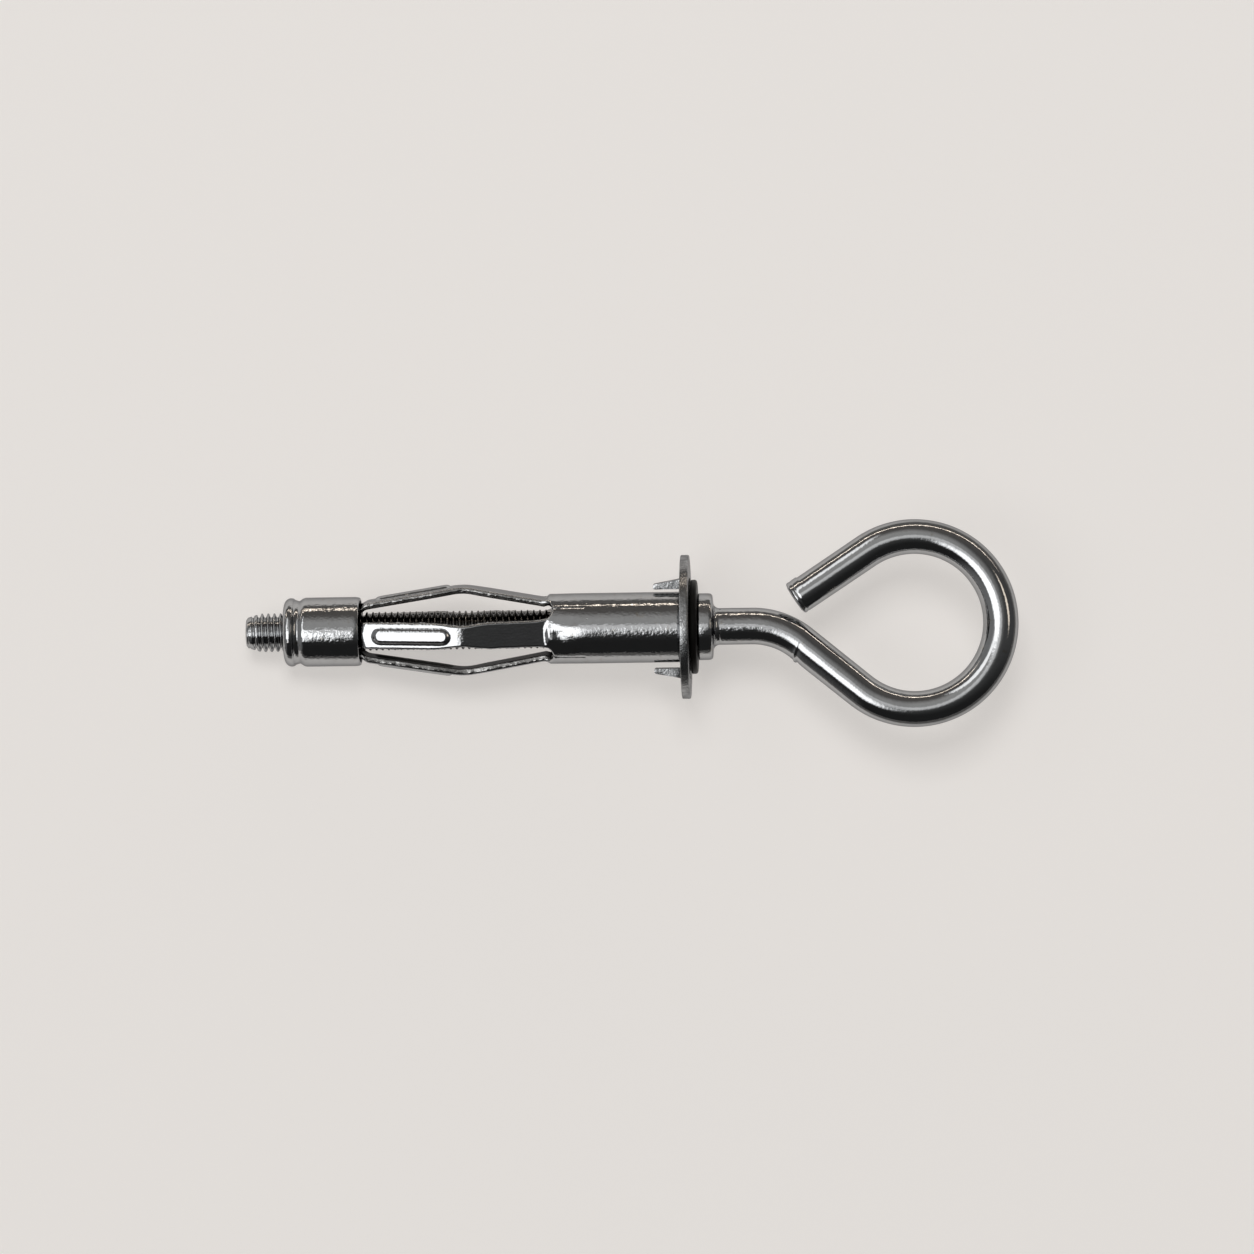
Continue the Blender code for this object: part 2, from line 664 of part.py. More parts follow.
def make_nut(material):
    """A round nut, chamfered at the thread and grooved for the ferrule's crimp."""
    end_x = NUT_END_X + NUT_LENGTH
    half_floor = GROOVE_FLOOR / 2.0 + SLIP_GAP
    half_groove = half_floor + GROOVE_RAMP
    outline = [
        (NUT_END_X, THREAD_BORE + NUT_CHAMFER),
        (NUT_END_X, NUT_RADIUS),
        (GROOVE_X - half_groove, NUT_RADIUS),
        (GROOVE_X - half_floor, NUT_RADIUS - GROOVE_DEPTH),
        (GROOVE_X + half_floor, NUT_RADIUS - GROOVE_DEPTH),
        (GROOVE_X + half_groove, NUT_RADIUS),
        (end_x, NUT_RADIUS),
        (end_x, THREAD_BORE + NUT_CHAMFER),
        (end_x - NUT_CHAMFER, THREAD_BORE),
        (NUT_END_X + NUT_CHAMFER, THREAD_BORE),
    ]
    return turned("threaded_nut", outline, material)


# Assembly


def lay_down(pieces):
    """Parents all pieces to an empty that rests them on the table, centred over the origin."""
    flat_share = math.cos(math.pi / TURNED_SIDES)
    pitch = math.atan((FLANGE_RADIUS - BEAD_RADIUS) * flat_share / (FLANGE_EDGE - BEAD_X))
    tilt = Matrix.Rotation(-pitch, 4, "Y")
    bpy.context.view_layer.update()
    graph = bpy.context.evaluated_depsgraph_get()
    corners = []
    for piece in pieces:
        evaluated = piece.evaluated_get(graph)
        mesh = evaluated.to_mesh()
        corners += [tilt @ vertex.co for vertex in mesh.vertices]
        evaluated.to_mesh_clear()
    low = Vector(min(corner[axis] for corner in corners) for axis in range(3))
    high = Vector(max(corner[axis] for corner in corners) for axis in range(3))
    middle = (low + high) / 2.0
    holder = bpy.data.objects.new("lying_on_table", None)
    bpy.context.scene.collection.objects.link(holder)
    holder.location = (-middle.x, -middle.y, -low.z)
    holder.rotation_euler = (0.0, -pitch, 0.0)
    for piece in pieces:
        piece.parent = holder
    return holder


def build():
    clear_scene()
    zinc = make_material("zinc_plated_steel", (0.62, 0.61, 0.59), 0.28, 1.0)
    wire = make_material("zinc_plated_wire", (0.60, 0.59, 0.57), 0.22, 1.0)
    flange_zinc = make_material("zinc_plated_plate", (0.50, 0.50, 0.49), 0.42, 1.0)
    nut_steel = make_material("nut_steel", (0.45, 0.44, 0.42), 0.40, 1.0)
    rubber = make_material("black_rubber", (0.012, 0.012, 0.012), 0.55, 0.0)
    pieces = [
        make_eye_bolt(wire),
        make_sleeve(zinc),
        make_flange(flange_zinc),
        make_washer(rubber),
        make_ferrule(zinc),
        make_nut(nut_steel),
    ]
    lay_down(pieces)


build()
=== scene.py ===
# %% [markdown]
# # Dressing a steel eye anchor
#
# A hollow-wall anchor holds a hook or a cord on a board. A bolt of bent wire runs through a
# slotted sleeve into a nut. Turning the eye pulls the sleeve's legs outwards behind the board.
# The plain solids of all six pieces are made already, at their real size. This lesson gives
# them what a photograph shows: a rolled thread, sheared edges, zinc plate and soft light.

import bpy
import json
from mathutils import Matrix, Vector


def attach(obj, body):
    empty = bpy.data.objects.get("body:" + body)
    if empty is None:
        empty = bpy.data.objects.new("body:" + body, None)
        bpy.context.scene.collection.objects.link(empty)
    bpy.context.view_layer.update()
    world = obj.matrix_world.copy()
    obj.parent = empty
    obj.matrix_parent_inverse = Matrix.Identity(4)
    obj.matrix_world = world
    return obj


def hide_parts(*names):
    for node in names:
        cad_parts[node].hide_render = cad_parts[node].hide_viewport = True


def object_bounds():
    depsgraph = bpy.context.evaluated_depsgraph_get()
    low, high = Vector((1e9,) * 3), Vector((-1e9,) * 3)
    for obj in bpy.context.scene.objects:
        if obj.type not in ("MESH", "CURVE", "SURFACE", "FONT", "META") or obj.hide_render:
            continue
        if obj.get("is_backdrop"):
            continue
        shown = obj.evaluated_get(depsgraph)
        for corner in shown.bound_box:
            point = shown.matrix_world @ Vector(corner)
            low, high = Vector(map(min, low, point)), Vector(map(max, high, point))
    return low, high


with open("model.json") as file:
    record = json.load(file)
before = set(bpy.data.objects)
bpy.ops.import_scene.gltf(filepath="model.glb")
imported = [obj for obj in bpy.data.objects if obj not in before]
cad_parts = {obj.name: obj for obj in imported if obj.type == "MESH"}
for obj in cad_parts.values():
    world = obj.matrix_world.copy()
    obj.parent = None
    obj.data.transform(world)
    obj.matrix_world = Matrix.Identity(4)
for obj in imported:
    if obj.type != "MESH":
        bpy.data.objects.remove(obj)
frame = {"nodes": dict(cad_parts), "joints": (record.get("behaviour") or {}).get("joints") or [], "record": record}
solids_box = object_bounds()
print("Solids:", ", ".join(sorted(frame["nodes"])))

# %% Blender's modules and the unit of this lesson
import json
import math

import bmesh
import bpy
from mathutils import Matrix, Vector, noise

MM = 0.001
FULL_TURN = 2.0 * math.pi
print("Sizes below are in millimetres")

# %% [markdown]
# ## Where the anchor lies
#
# The anchor lies on the rim of its flange and on the bead of its end ferrule, so its axis slopes
# a little. It is easier to make every piece straight, along X, with the wall's face at x = 0, and
# to lay the points down at the end. The slope needn't be guessed: the bolt's joint gives the
# axis, and the mount on the flange gives the wall's face.

# %% Find the anchor's own axes
bolt_turn = next(joint for joint in frame["joints"] if joint["name"] == "bolt_turn")
wall_face = next(mount for mount in frame["record"]["mounts"] if mount["name"] == "wall_face")
along = Vector(bolt_turn["axis"]).normalized()
across = Vector((0.0, 1.0, 0.0))
outward = along.cross(across)
on_axis = Vector(bolt_turn["pos_m"])
flange_centre = on_axis + along * (Vector(wall_face["pos_m"]) - on_axis).dot(along)
lying = Matrix((along, across, outward)).transposed().to_4x4()
lying.translation = flange_centre
to_anchor = lying.inverted()
slope = math.asin(along.z)
print(f"The axis slopes {math.degrees(slope):.2f} degrees")

# %% [markdown]
# ## Measure instead of repeating
#
# Outer sizes are read from the solids, so the dressed pieces can't drift away from them. Only
# what a box can't tell, such as the radius of a bend, is written down again further on.

# %% Measure the solids along those axes
def places_of(piece):
    """Corners of a solid or a piece in millimetres, on the anchor's own axes."""
    return [to_anchor @ vertex.co / MM for vertex in piece.data.vertices]


def start_and_end(node):
    distances = [place.x for place in places_of(frame["nodes"][node])]
    return min(distances), max(distances)


def radius_of(node):
    """How far the solid reaches down from the axis, to the flat facet that meets the floor."""
    return max(-place.z for place in places_of(frame["nodes"][node]))


TIP_X, _ = start_and_end("eye_bolt")
WASHER_X, WASHER_END_X = start_and_end("sealing_washer")
WASHER_RADIUS = radius_of("sealing_washer")
_, FLANGE_THICKNESS = start_and_end("flange_plate")
FLANGE_RADIUS = radius_of("flange_plate")
FERRULE_END_X, FERRULE_MOUTH_X = start_and_end("end_ferrule")
FERRULE_RADIUS = radius_of("end_ferrule")
LEG_END_X, NECK_END_X = start_and_end("anchor_sleeve")
print(f"Bolt tip {TIP_X:.2f}, ferrule {FERRULE_END_X:.2f} to {FERRULE_MOUTH_X:.2f} mm")
print(f"Flange {2 * FLANGE_RADIUS:.2f} across, washer {2 * WASHER_RADIUS:.2f} mm across")

# %% [markdown]
# ## Small helpers
#
# Blends between two values come back all through the lesson, and a smooth step has no corner at
# either end, which matters on bright metal: a corner in a curve shows as a line in a reflection.

# %% Blends and steps
def mix(a, b, t):
    return a + (b - a) * t


def smooth(t):
    """Rises from 0 to 1 with no corner at either end."""
    t = min(max(t, 0.0), 1.0)
    return t * t * (3.0 - 2.0 * t)


def spaced(start, end, steps):
    return [mix(start, end, i / steps) for i in range(steps + 1)]


def bump_at(distance, width):
    """1 at no distance, fading away like a bell."""
    return math.exp(-((distance / width) ** 2))


def noise_of(place, steps):
    """Smooth noise, from about -1 to 1. Its steps say how fast it changes along each number."""
    return noise.noise(Vector([value * step for value, step in zip(place, steps)]))


print("smooth(0.25) =", smooth(0.25))

# %% [markdown]
# ## From points to a piece
#
# Each piece is a mesh made from lists of points and faces. Close points are welded, which lets a
# spiral close on itself and lets patches share a border. Every point also keeps its place on the
# stock it was made from: for the bent wire that is the straight wire, so the drawn grain can
# later follow the bend.

# %% Make one piece from points and faces
WELD = 0.0005 * MM


def remember_stock(mesh, places):
    attribute = mesh.attributes.new("stock", "FLOAT_VECTOR", "POINT")
    attribute.data.foreach_set("vector", [value for place in places for value in place])


def add_object(name, data):
    item = bpy.data.objects.new(name, data)
    bpy.context.scene.collection.objects.link(item)
    return item


def new_piece(name, points, faces, stock=None):
    """A smooth mesh from points on the anchor's own axes, laid down with the solids."""
    mesh = bpy.data.meshes.new(name)
    mesh.from_pydata([lying @ (Vector(point) * MM) for point in points], [], faces)
    if stock:
        remember_stock(mesh, stock)
    bm = bmesh.new()
    bm.from_mesh(mesh)
    bmesh.ops.remove_doubles(bm, verts=bm.verts, dist=WELD)
    bmesh.ops.recalc_face_normals(bm, faces=bm.faces)
    bm.to_mesh(mesh)
    bm.free()
    mesh.shade_smooth()
    return add_object(name, mesh)


print("Points closer than", WELD / MM, "mm are welded")

# %% Faces, soft edges and a report
def loop_faces(rows, count, start=0):
    """Faces from each of these rows of points to the next one. A row is a closed loop."""
    faces = []
    for i in rows:
        for k in range(count):
            a = start + i * count + k
            b = start + i * count + (k + 1) % count
            faces.append((a, b, b + count, a + count))
    return faces


def apply_modifiers(piece):
    graph = bpy.context.evaluated_depsgraph_get()
    finished = bpy.data.meshes.new_from_object(piece.evaluated_get(graph))
    piece.modifiers.clear()
    piece.data = finished


def soften_edges(piece, width, limit_degrees):
    """Rounds what is sharper than the limit, as shears, dies and tumbling leave it."""
    bevel = piece.modifiers.new("softened edges", "BEVEL")
    bevel.width = width * MM
    bevel.segments = 2
    bevel.limit_method = "ANGLE"
    bevel.angle_limit = math.radians(limit_degrees)
    apply_modifiers(piece)


def stock_from_place(piece):
    """For straight pieces the stock is where the point is."""
    remember_stock(piece.data, places_of(piece))


def report(piece):
    print(f"{piece.name}: {len(piece.data.vertices)} points, {len(piece.data.polygons)} faces")


print("Helpers are ready")

# %% [markdown]
# ## The eye bolt: its bent centre line
#
# The bolt is one wire. After the collar it runs straight, bends one way, runs straight again and
# then goes round three quarters of a circle, back to its free end. A curve object could follow
# it, but then the crease, the burr and the slow thinning of the wire would be hard to add. So
# the centre line is a function of the length travelled, and the surface is built around it.

# %% The run of the wire
COLLAR_CLEARANCE = 0.10
COLLAR_X = WASHER_END_X + COLLAR_CLEARANCE
COLLAR_RADIUS = 4.32
COLLAR_THICKNESS = 1.95
COLLAR_END_X = COLLAR_X + COLLAR_THICKNESS
WIRE_RADIUS = 2.37
WIRE_END_RADIUS = 2.20
STRAIGHT_SHANK = 4.90
SHANK_BEND_RADIUS = 10.0
SHANK_BEND = math.radians(39.3)
LIMB_LENGTH = 9.80
EYE_BEND_RADIUS = 11.10
EYE_BEND = math.radians(252.6)
FREE_LIMB_LENGTH = 11.0

WIRE_RUNS = (
    (STRAIGHT_SHANK, 0.0),
    (SHANK_BEND_RADIUS * SHANK_BEND, -SHANK_BEND),
    (LIMB_LENGTH, 0.0),
    (EYE_BEND_RADIUS * EYE_BEND, EYE_BEND),
    (FREE_LIMB_LENGTH, 0.0),
)
WIRE_LENGTH = sum(length for length, _ in WIRE_RUNS)
BEND_END = STRAIGHT_SHANK + SHANK_BEND_RADIUS * SHANK_BEND


def wire_place(travel):
    """Centre and heading of the wire after a length of travel past the collar."""
    x, y, heading = COLLAR_END_X, 0.0, 0.0
    for length, turn in WIRE_RUNS:
        part = min(max(travel, 0.0), length)
        bend = turn * part / length
        if turn:
            radius = length / turn
            x += radius * (math.sin(heading + bend) - math.sin(heading))
            y -= radius * (math.cos(heading + bend) - math.cos(heading))
        else:
            x += part * math.cos(heading)
            y += part * math.sin(heading)
        heading += bend
        travel -= part
    return x, y, heading


print(f"The wire runs {WIRE_LENGTH:.1f} mm past the collar")

# %% [markdown]
# ## The marks of bending
#
# Bending draws the wire thinner towards its free end. A tool pressed a slanting crease into it
# where the first bend ends: a raised ridge with a hollow behind it, strongest at the lower edge.
# The cutter left a lip on one side of the free end and a fine line round it. All of these are
# small changes of the wire's radius, which depend on the length travelled and on the angle.

# %% Sizes of the bending marks
# Angles round the wire: 0 is the left side of its heading, 90 is up, 180 the right side.
CREASE_TOP = -0.25  # where the crease crosses the wire's top, past the end of the bend
CREASE_SIDE = 0.95  # and where it reaches the wire's lower side
CREASE_HEIGHT = 0.11
CREASE_WIDTH = 0.18
CREASE_SHIFT = 0.12  # the ridge stands this far before the line
CREASE_GROWTH = (0.1, 1.5)  # share of the height at the wire's top and at its lower side
CREASE_START, CREASE_FADE_IN = -0.12, 0.5  # on the way from the top, 0, to the lower side, 1
CREASE_STOP, CREASE_FADE_OUT = 1.55, 0.4
HOLLOW_SHIFT = 0.10  # the hollow starts this far past the line
HOLLOW_DEPTH = 0.075
HOLLOW_GROWTH = (0.28, 1.3)
HOLLOW_WALL = 0.22  # length of the hollow's steep side
HOLLOW_SLOPE = 0.45  # and of its gentle one
LIP_LENGTH = 1.75
LIP_HEIGHT = 0.13
LIP_START = 0.16
LIP_SPREAD = 38.0  # degrees
END_ROUNDING = 0.32
CUT_LINE = 0.62  # the cutter's line round the wire, from the free end
CUT_LINE_DEPTH = 0.045
CUT_LINE_WIDTH = 0.15
HAND_WAVE = 0.010  # unevenness from the bending jig
HAND_STEPS = (0.35, 1.0, 1.0)  # steps of the noise along the wire and round it
WAVE_START = 3.0
print("The crease reaches the wire's lower side", CREASE_SIDE, "mm past the bend")

# %% The surface of the wire
def crease(travel, angle):
    """Height of the crease. The share is 0 at the wire's top and 1 at its lower side."""
    share = (math.degrees(angle) - 90.0) / 90.0
    line = BEND_END + mix(CREASE_TOP, CREASE_SIDE, share)
    strength = smooth((share - CREASE_START) / CREASE_FADE_IN)
    strength *= smooth((CREASE_STOP - share) / CREASE_FADE_OUT)
    lower = min(max(share, 0.0), 1.0) ** 2
    ridge = CREASE_HEIGHT * mix(*CREASE_GROWTH, lower)
    ridge *= bump_at(travel - line + CREASE_SHIFT, CREASE_WIDTH)
    past_wall = travel - line - HOLLOW_SHIFT
    hollow = smooth(past_wall / HOLLOW_WALL + 1.0) * bump_at(max(past_wall, 0.0), HOLLOW_SLOPE)
    hollow *= HOLLOW_DEPTH * mix(*HOLLOW_GROWTH, lower)
    return strength * (ridge - hollow)


def end_lip(travel, angle):
    beside = math.degrees(angle) - 180.0
    rise = smooth((travel - (WIRE_LENGTH - LIP_LENGTH)) / LIP_START)
    return LIP_HEIGHT * rise * bump_at(beside, LIP_SPREAD)


def wire_radius(travel, angle):
    thinning = max(0.0, travel - STRAIGHT_SHANK) / (WIRE_LENGTH - STRAIGHT_SHANK)
    radius = mix(WIRE_RADIUS, WIRE_END_RADIUS, thinning)
    radius += crease(travel, angle) + end_lip(travel, angle)
    from_end = WIRE_LENGTH - travel
    radius -= CUT_LINE_DEPTH * bump_at(from_end - CUT_LINE, CUT_LINE_WIDTH)
    if from_end < END_ROUNDING:
        u = 1.0 - from_end / END_ROUNDING
        radius -= END_ROUNDING * (1.0 - math.sqrt(max(0.0, 1.0 - u * u)))
    uneven = noise_of((travel, math.cos(angle), math.sin(angle)), HAND_STEPS)
    return radius + HAND_WAVE * uneven * smooth(travel / WAVE_START)


print("Crease at the lower edge:", round(crease(BEND_END + CREASE_SIDE, math.pi), 3), "mm")

# %% [markdown]
# ## The eye bolt: a rolled thread
#
# A thread is a ridge that winds round the bolt. It could be a bump in the material, but a
# bump has a smooth outline, and here the outline shows its teeth. So the thread is real: a grid
# of points whose columns climb by one pitch in one turn. Rows that would pass the tip or the end
# of the thread stop there, and the welding closes the grid.

# %% The surface of the thread
THREAD_RADIUS = 2.50
THREAD_PITCH = 0.80
THREAD_DEPTH = 0.53
THREAD_END_X = -10.0
THREAD_RUN_OUT = 1.2
TIP_RADIUS = 1.75
TIP_BLUNTING = 1.3
FIRST_TURNS_START = 1.93  # the first turns are shallow, because the blank was pointed
FIRST_TURNS_GROWTH = 0.31
CREST_FLAT = 0.10
ROOT_START = 0.86
THREAD_ROWS = 12  # in each turn
WIRE_SIDES = 64


def thread_radius(x, share):
    """Radius at x, where share runs from 0 to 1 between two roots of the thread."""
    from_crest = abs(2.0 * share - 1.0)
    drop = smooth((from_crest - CREST_FLAT) / (ROOT_START - CREST_FLAT))
    threaded = THREAD_RADIUS - THREAD_DEPTH * drop
    run_out = smooth((x - THREAD_END_X + THREAD_RUN_OUT) / THREAD_RUN_OUT)
    from_tip = x - TIP_X
    blunted = TIP_RADIUS + TIP_BLUNTING * from_tip
    pointed = FIRST_TURNS_START + FIRST_TURNS_GROWTH * from_tip
    return min(mix(threaded, WIRE_RADIUS, run_out), blunted, pointed)


def thread_grid():
    """Points, and faces, of the thread from the tip to its last turn."""
    turns = (THREAD_END_X - TIP_X) / THREAD_PITCH
    rows = range(-THREAD_ROWS, math.ceil(turns * THREAD_ROWS) + 1)
    points, faces = [], []
    columns = WIRE_SIDES + 1
    for number, i in enumerate(rows):
        for j in range(columns):
            angle = FULL_TURN * j / WIRE_SIDES
            climb = THREAD_PITCH * (i / THREAD_ROWS + j / WIRE_SIDES)
            x = min(max(TIP_X + climb, TIP_X), THREAD_END_X)
            radius = thread_radius(x, (i % THREAD_ROWS) / THREAD_ROWS)
            points.append((x, radius * math.cos(angle), radius * math.sin(angle)))
            if number and j:
                here = number * columns + j
                faces.append((here, here - 1, here - columns - 1, here - columns))
    return points, faces


thread_points, thread_faces = thread_grid()
print(f"The thread has {(THREAD_END_X - TIP_X) / THREAD_PITCH:.0f} turns")

# %% [markdown]
# ## The collar, and rings along the wire
#
# The rest of the bolt is a row of rings joined to each other: first the turned outline of the
# collar, then the wire. Rings stand closer together at the crease and at the free end, where
# the surface changes quickly, and further apart where the wire is plain.

# %% Round the corners of an outline
def eased(corners, closed=True, steps=4):
    """Points (x, radius) of an outline whose corners (x, radius, ease) are rounded by their ease."""
    outline = []
    for k, (x, radius, ease) in enumerate(corners):
        corner = Vector((x, radius))
        at_an_end = not closed and k in (0, len(corners) - 1)
        if at_an_end or not ease:
            outline.append(corner)
            continue
        before = Vector(corners[k - 1][:2])
        after = Vector(corners[(k + 1) % len(corners)][:2])
        start = corner + (before - corner).normalized() * ease
        end = corner + (after - corner).normalized() * ease
        for t in spaced(0.0, 1.0, steps):
            outline.append(start * (1 - t) ** 2 + corner * 2 * t * (1 - t) + end * t * t)
    return outline


COLLAR_FILLET_END = 0.80  # past the collar, where the plain wire starts
collar_outline = eased(
    [
        (THREAD_END_X, WIRE_RADIUS, 0.0),
        (COLLAR_X, WIRE_RADIUS, 0.08),
        (COLLAR_X, COLLAR_RADIUS, 0.20),
        (COLLAR_END_X - 0.12, COLLAR_RADIUS - 0.02, 0.50),
        (COLLAR_END_X + 0.02, WIRE_RADIUS + 0.42, 0.30),
        (COLLAR_END_X + 0.42, WIRE_RADIUS, 0.36),
        (COLLAR_END_X + COLLAR_FILLET_END, WIRE_RADIUS, 0.0),
    ],
    closed=False,
    steps=6,
)
print(f"The collar's outline has {len(collar_outline)} points")

# %% Where the rings of the wire stand
RING_STEP = 0.34
FINE_STEP = 0.06
FINE_START, FINE_END = -1.2, 1.9  # round the crease, from the end of the bend
FINE_MARGIN = 0.2


def ring_travels():
    """Lengths of travel of the rings, closer together at the crease and the free end."""
    travels, travel = [], COLLAR_FILLET_END
    while travel < WIRE_LENGTH:
        travels.append(travel)
        near_crease = FINE_START < travel - BEND_END < FINE_END
        near_end = travel > WIRE_LENGTH - LIP_LENGTH - FINE_MARGIN
        travel += FINE_STEP if near_crease or near_end else RING_STEP
    return travels + [WIRE_LENGTH]


print(len(ring_travels()), "rings follow the wire")

# %% [markdown]
# ## The two ends
#
# The free end was cropped: its face is a little domed, with a shallow step round it. The
# threaded tip is flat, with a cone round it. Both faces are closed with rings that shrink to
# one point, so that light can glide over them.

# %% Build the whole bolt
TIP_SHARES = (0.0, 0.4, 0.8, 1.0)
DOME = 0.16
DOME_RINGS = ((0.93, 0.25), (0.84, 0.62), (0.80, 0.30), (0.55, 0.75), (0.28, 0.95), (0.0, 1.0))


def ring(centre_x, centre_y, heading, radius_at):
    side = Vector((-math.sin(heading), math.cos(heading), 0.0))
    points = []
    for j in range(WIRE_SIDES):
        angle = FULL_TURN * j / WIRE_SIDES
        direction = math.cos(angle) * side + Vector((0.0, 0.0, math.sin(angle)))
        points.append(Vector((centre_x, centre_y, 0.0)) + radius_at(angle) * direction)
    return points


def ring_pair(place, distance, radius_at):
    """A ring of points, and the same ring on the straight stock."""
    return ring(*place, radius_at), ring(distance, 0.0, 0.0, radius_at)


def bolt_rings():
    """Pairs of rings from the tip's middle to its rim, and from the collar to the free end."""
    tip = (TIP_X, 0.0, 0.0)
    tip_pairs = [ring_pair(tip, TIP_X, lambda a: share * TIP_RADIUS) for share in TIP_SHARES]
    pairs = [ring_pair((x, 0.0, 0.0), x, lambda a: radius) for x, radius in collar_outline]
    for travel in ring_travels():
        distance = COLLAR_END_X + travel
        pairs.append(ring_pair(wire_place(travel), distance, lambda a: wire_radius(travel, a)))
    x, y, heading = wire_place(WIRE_LENGTH)
    for share, rise in DOME_RINGS:
        out = DOME * rise
        place = (x + out * math.cos(heading), y + out * math.sin(heading), heading)
        distance = COLLAR_END_X + WIRE_LENGTH + out
        pairs.append(ring_pair(place, distance, lambda a: share * wire_radius(WIRE_LENGTH, a)))
    return tip_pairs, pairs


def make_bolt():
    points, stock, faces = list(thread_points), list(thread_points), list(thread_faces)
    for pairs in bolt_rings():
        faces += loop_faces(range(len(pairs) - 1), WIRE_SIDES, start=len(points))
        for placed, straight in pairs:
            points += placed
            stock += straight
    return new_piece("bent_eye_bolt", points, faces, stock)


eye_bolt = make_bolt()
report(eye_bolt)

# %% [markdown]
# ## The sleeve: one sheet, four legs
#
# The sleeve is one rolled sheet. Near the flange it is a round tube. Slots divide it into four
# legs, each flat, waisted at the knee and pressed with a rib, and round again in the ferrule.
# Such a form can't be turned or lofted in one go. It can be written as one function: from a
# place along the axis and across the leg, to a point of the outer face and one of the inner.

# %% Sizes of the sleeve
LEGS = 4
SLEEVE_TURN = math.radians(9.0)
TUBE_RADIUS = 4.55
TAIL_RADIUS = 3.85
SLEEVE_SHEET = 0.85
TUBE_LENGTH = 16.5
KNEE_REACH = 11.6  # from the tube's end to the knee
KNEE_X = -TUBE_LENGTH - KNEE_REACH
LEG_WIDTH = 3.50
EDGE_ROLL = 0.24  # the shears rounded the face off by this much at each side
FACE_WIDTH = LEG_WIDTH - 2.0 * EDGE_ROLL
WAIST_CUT = 0.36
WAIST_LENGTH = 3.80
ROOT_DROP = 0.44
ROOT_BEND_START = 0.60
ROOT_BEND_LENGTH = 0.85
KNEE_RISE = 1.32
KNEE_ROUND = 1.30
FOOT_DROP = 0.10
FOOT_BEND = 0.26  # the foot of each leg steps down into the ferrule
FOOT_BEND_LENGTH = 0.75
TUCK_LENGTH = 1.10
HALF_PITCH = math.pi * TUBE_RADIUS / LEGS
SLOT_RADIUS = HALF_PITCH - FACE_WIDTH / 2.0
SLOT_START_X = -TUBE_LENGTH + EDGE_ROLL - SLOT_RADIUS
ROOT_BEND_X = SLOT_START_X + ROOT_BEND_START
ROOT_REACH = 0.50  # from the tube's end to where the roots' patches stop
ROOT_END_X = -TUBE_LENGTH + ROOT_REACH
print(f"Slots start at {SLOT_START_X:.2f} mm, knees at {KNEE_X:.2f} mm")

# %% [markdown]
# ## Ribs, dents and sheared edges
#
# The rib is a long hollow with round ends, pressed outwards to stiffen the leg. Its height
# follows from the distance to a line along the leg's middle. Where a leg leaves the tube, the
# press has also dented the tube a little, which throws fans of light over it. The shears did
# not run quite straight, so the leg's width wavers by a few hundredths of a millimetre.

# %% Height of the rib, depth of the dents, width of the leg
RIB_WIDTH = 2.36
RIB_HEIGHT = 0.36
RIB_FROM_KNEE = 1.35
RIB_END_X = KNEE_X - RIB_FROM_KNEE
RIB_LENGTH = 10.35
RIB_RIGHT_X = RIB_END_X - RIB_WIDTH / 2.0
RIB_LEFT_X = RIB_END_X - RIB_LENGTH + RIB_WIDTH / 2.0
RIB_FLANK = 0.54  # share of the rib's half width that its sloping side takes
DENT_DEPTHS = (0.34, 0.03, 0.15, 0.03)  # the front leg's side of the tube took most of it
DENT_LENGTH = 4.6
DENT_WIDTH = 2.8
DENT_EVEN, DENT_UNEVEN = 0.9, 0.5
DENT_STEPS = (0.55, 0.7, 3.1)  # steps of the noise along and across a leg, and for each leg
SHEAR_WAVER = 0.035
SHEAR_STEPS = (1.1, 7.3, 4.1)  # along a leg, for each leg and for each side of it
FINE_SHEAR_STEPS = (4.3, 5.7, 2.9)
FINE_SHEAR = 0.5
SHEAR_MEAN = 0.5  # on average the edge lies this share of the waver further in
SHEAR_FADE = 1.0


def rib_lift(x, across_leg):
    past_line = x - min(max(x, RIB_LEFT_X), RIB_RIGHT_X)
    share = math.hypot(past_line, across_leg) / (RIB_WIDTH / 2.0)
    return RIB_HEIGHT * smooth((1.0 - share) / RIB_FLANK)


def root_dent(x, across_leg, leg):
    past_root = x - ROOT_BEND_X - ROOT_BEND_LENGTH
    ramp = 1.0 - smooth(past_root / DENT_LENGTH)
    uneven = DENT_UNEVEN * noise_of((x, across_leg, leg), DENT_STEPS)
    fade = smooth((x - ROOT_BEND_X) / ROOT_BEND_LENGTH)
    across = bump_at(across_leg, DENT_WIDTH)
    return DENT_DEPTHS[leg] * fade * ramp * across * (DENT_EVEN + uneven)


def leg_half_width(x, waver=0.0):
    waist = smooth(1.0 - abs(x - KNEE_X) / WAIST_LENGTH)
    return FACE_WIDTH / 2.0 - WAIST_CUT * waist - waver


def shear_waver(x, leg, side):
    fade = smooth((SLOT_START_X - x) / SHEAR_FADE)
    fade *= smooth((x - FERRULE_MOUTH_X) / SHEAR_FADE)
    place = (x, leg, side)
    rough = noise_of(place, SHEAR_STEPS) + FINE_SHEAR * noise_of(place, FINE_SHEAR_STEPS)
    return SHEAR_WAVER * fade * (SHEAR_MEAN + rough)


print("The rib stands", rib_lift(RIB_RIGHT_X, 0.0), "mm proud")

# %% From flat place to sheet
ALMOST_FLAT = 1e-4  # radians from the middle of a leg to the middle of a slot


def leg_turn(leg):
    return SLEEVE_TURN + FULL_TURN * leg / LEGS


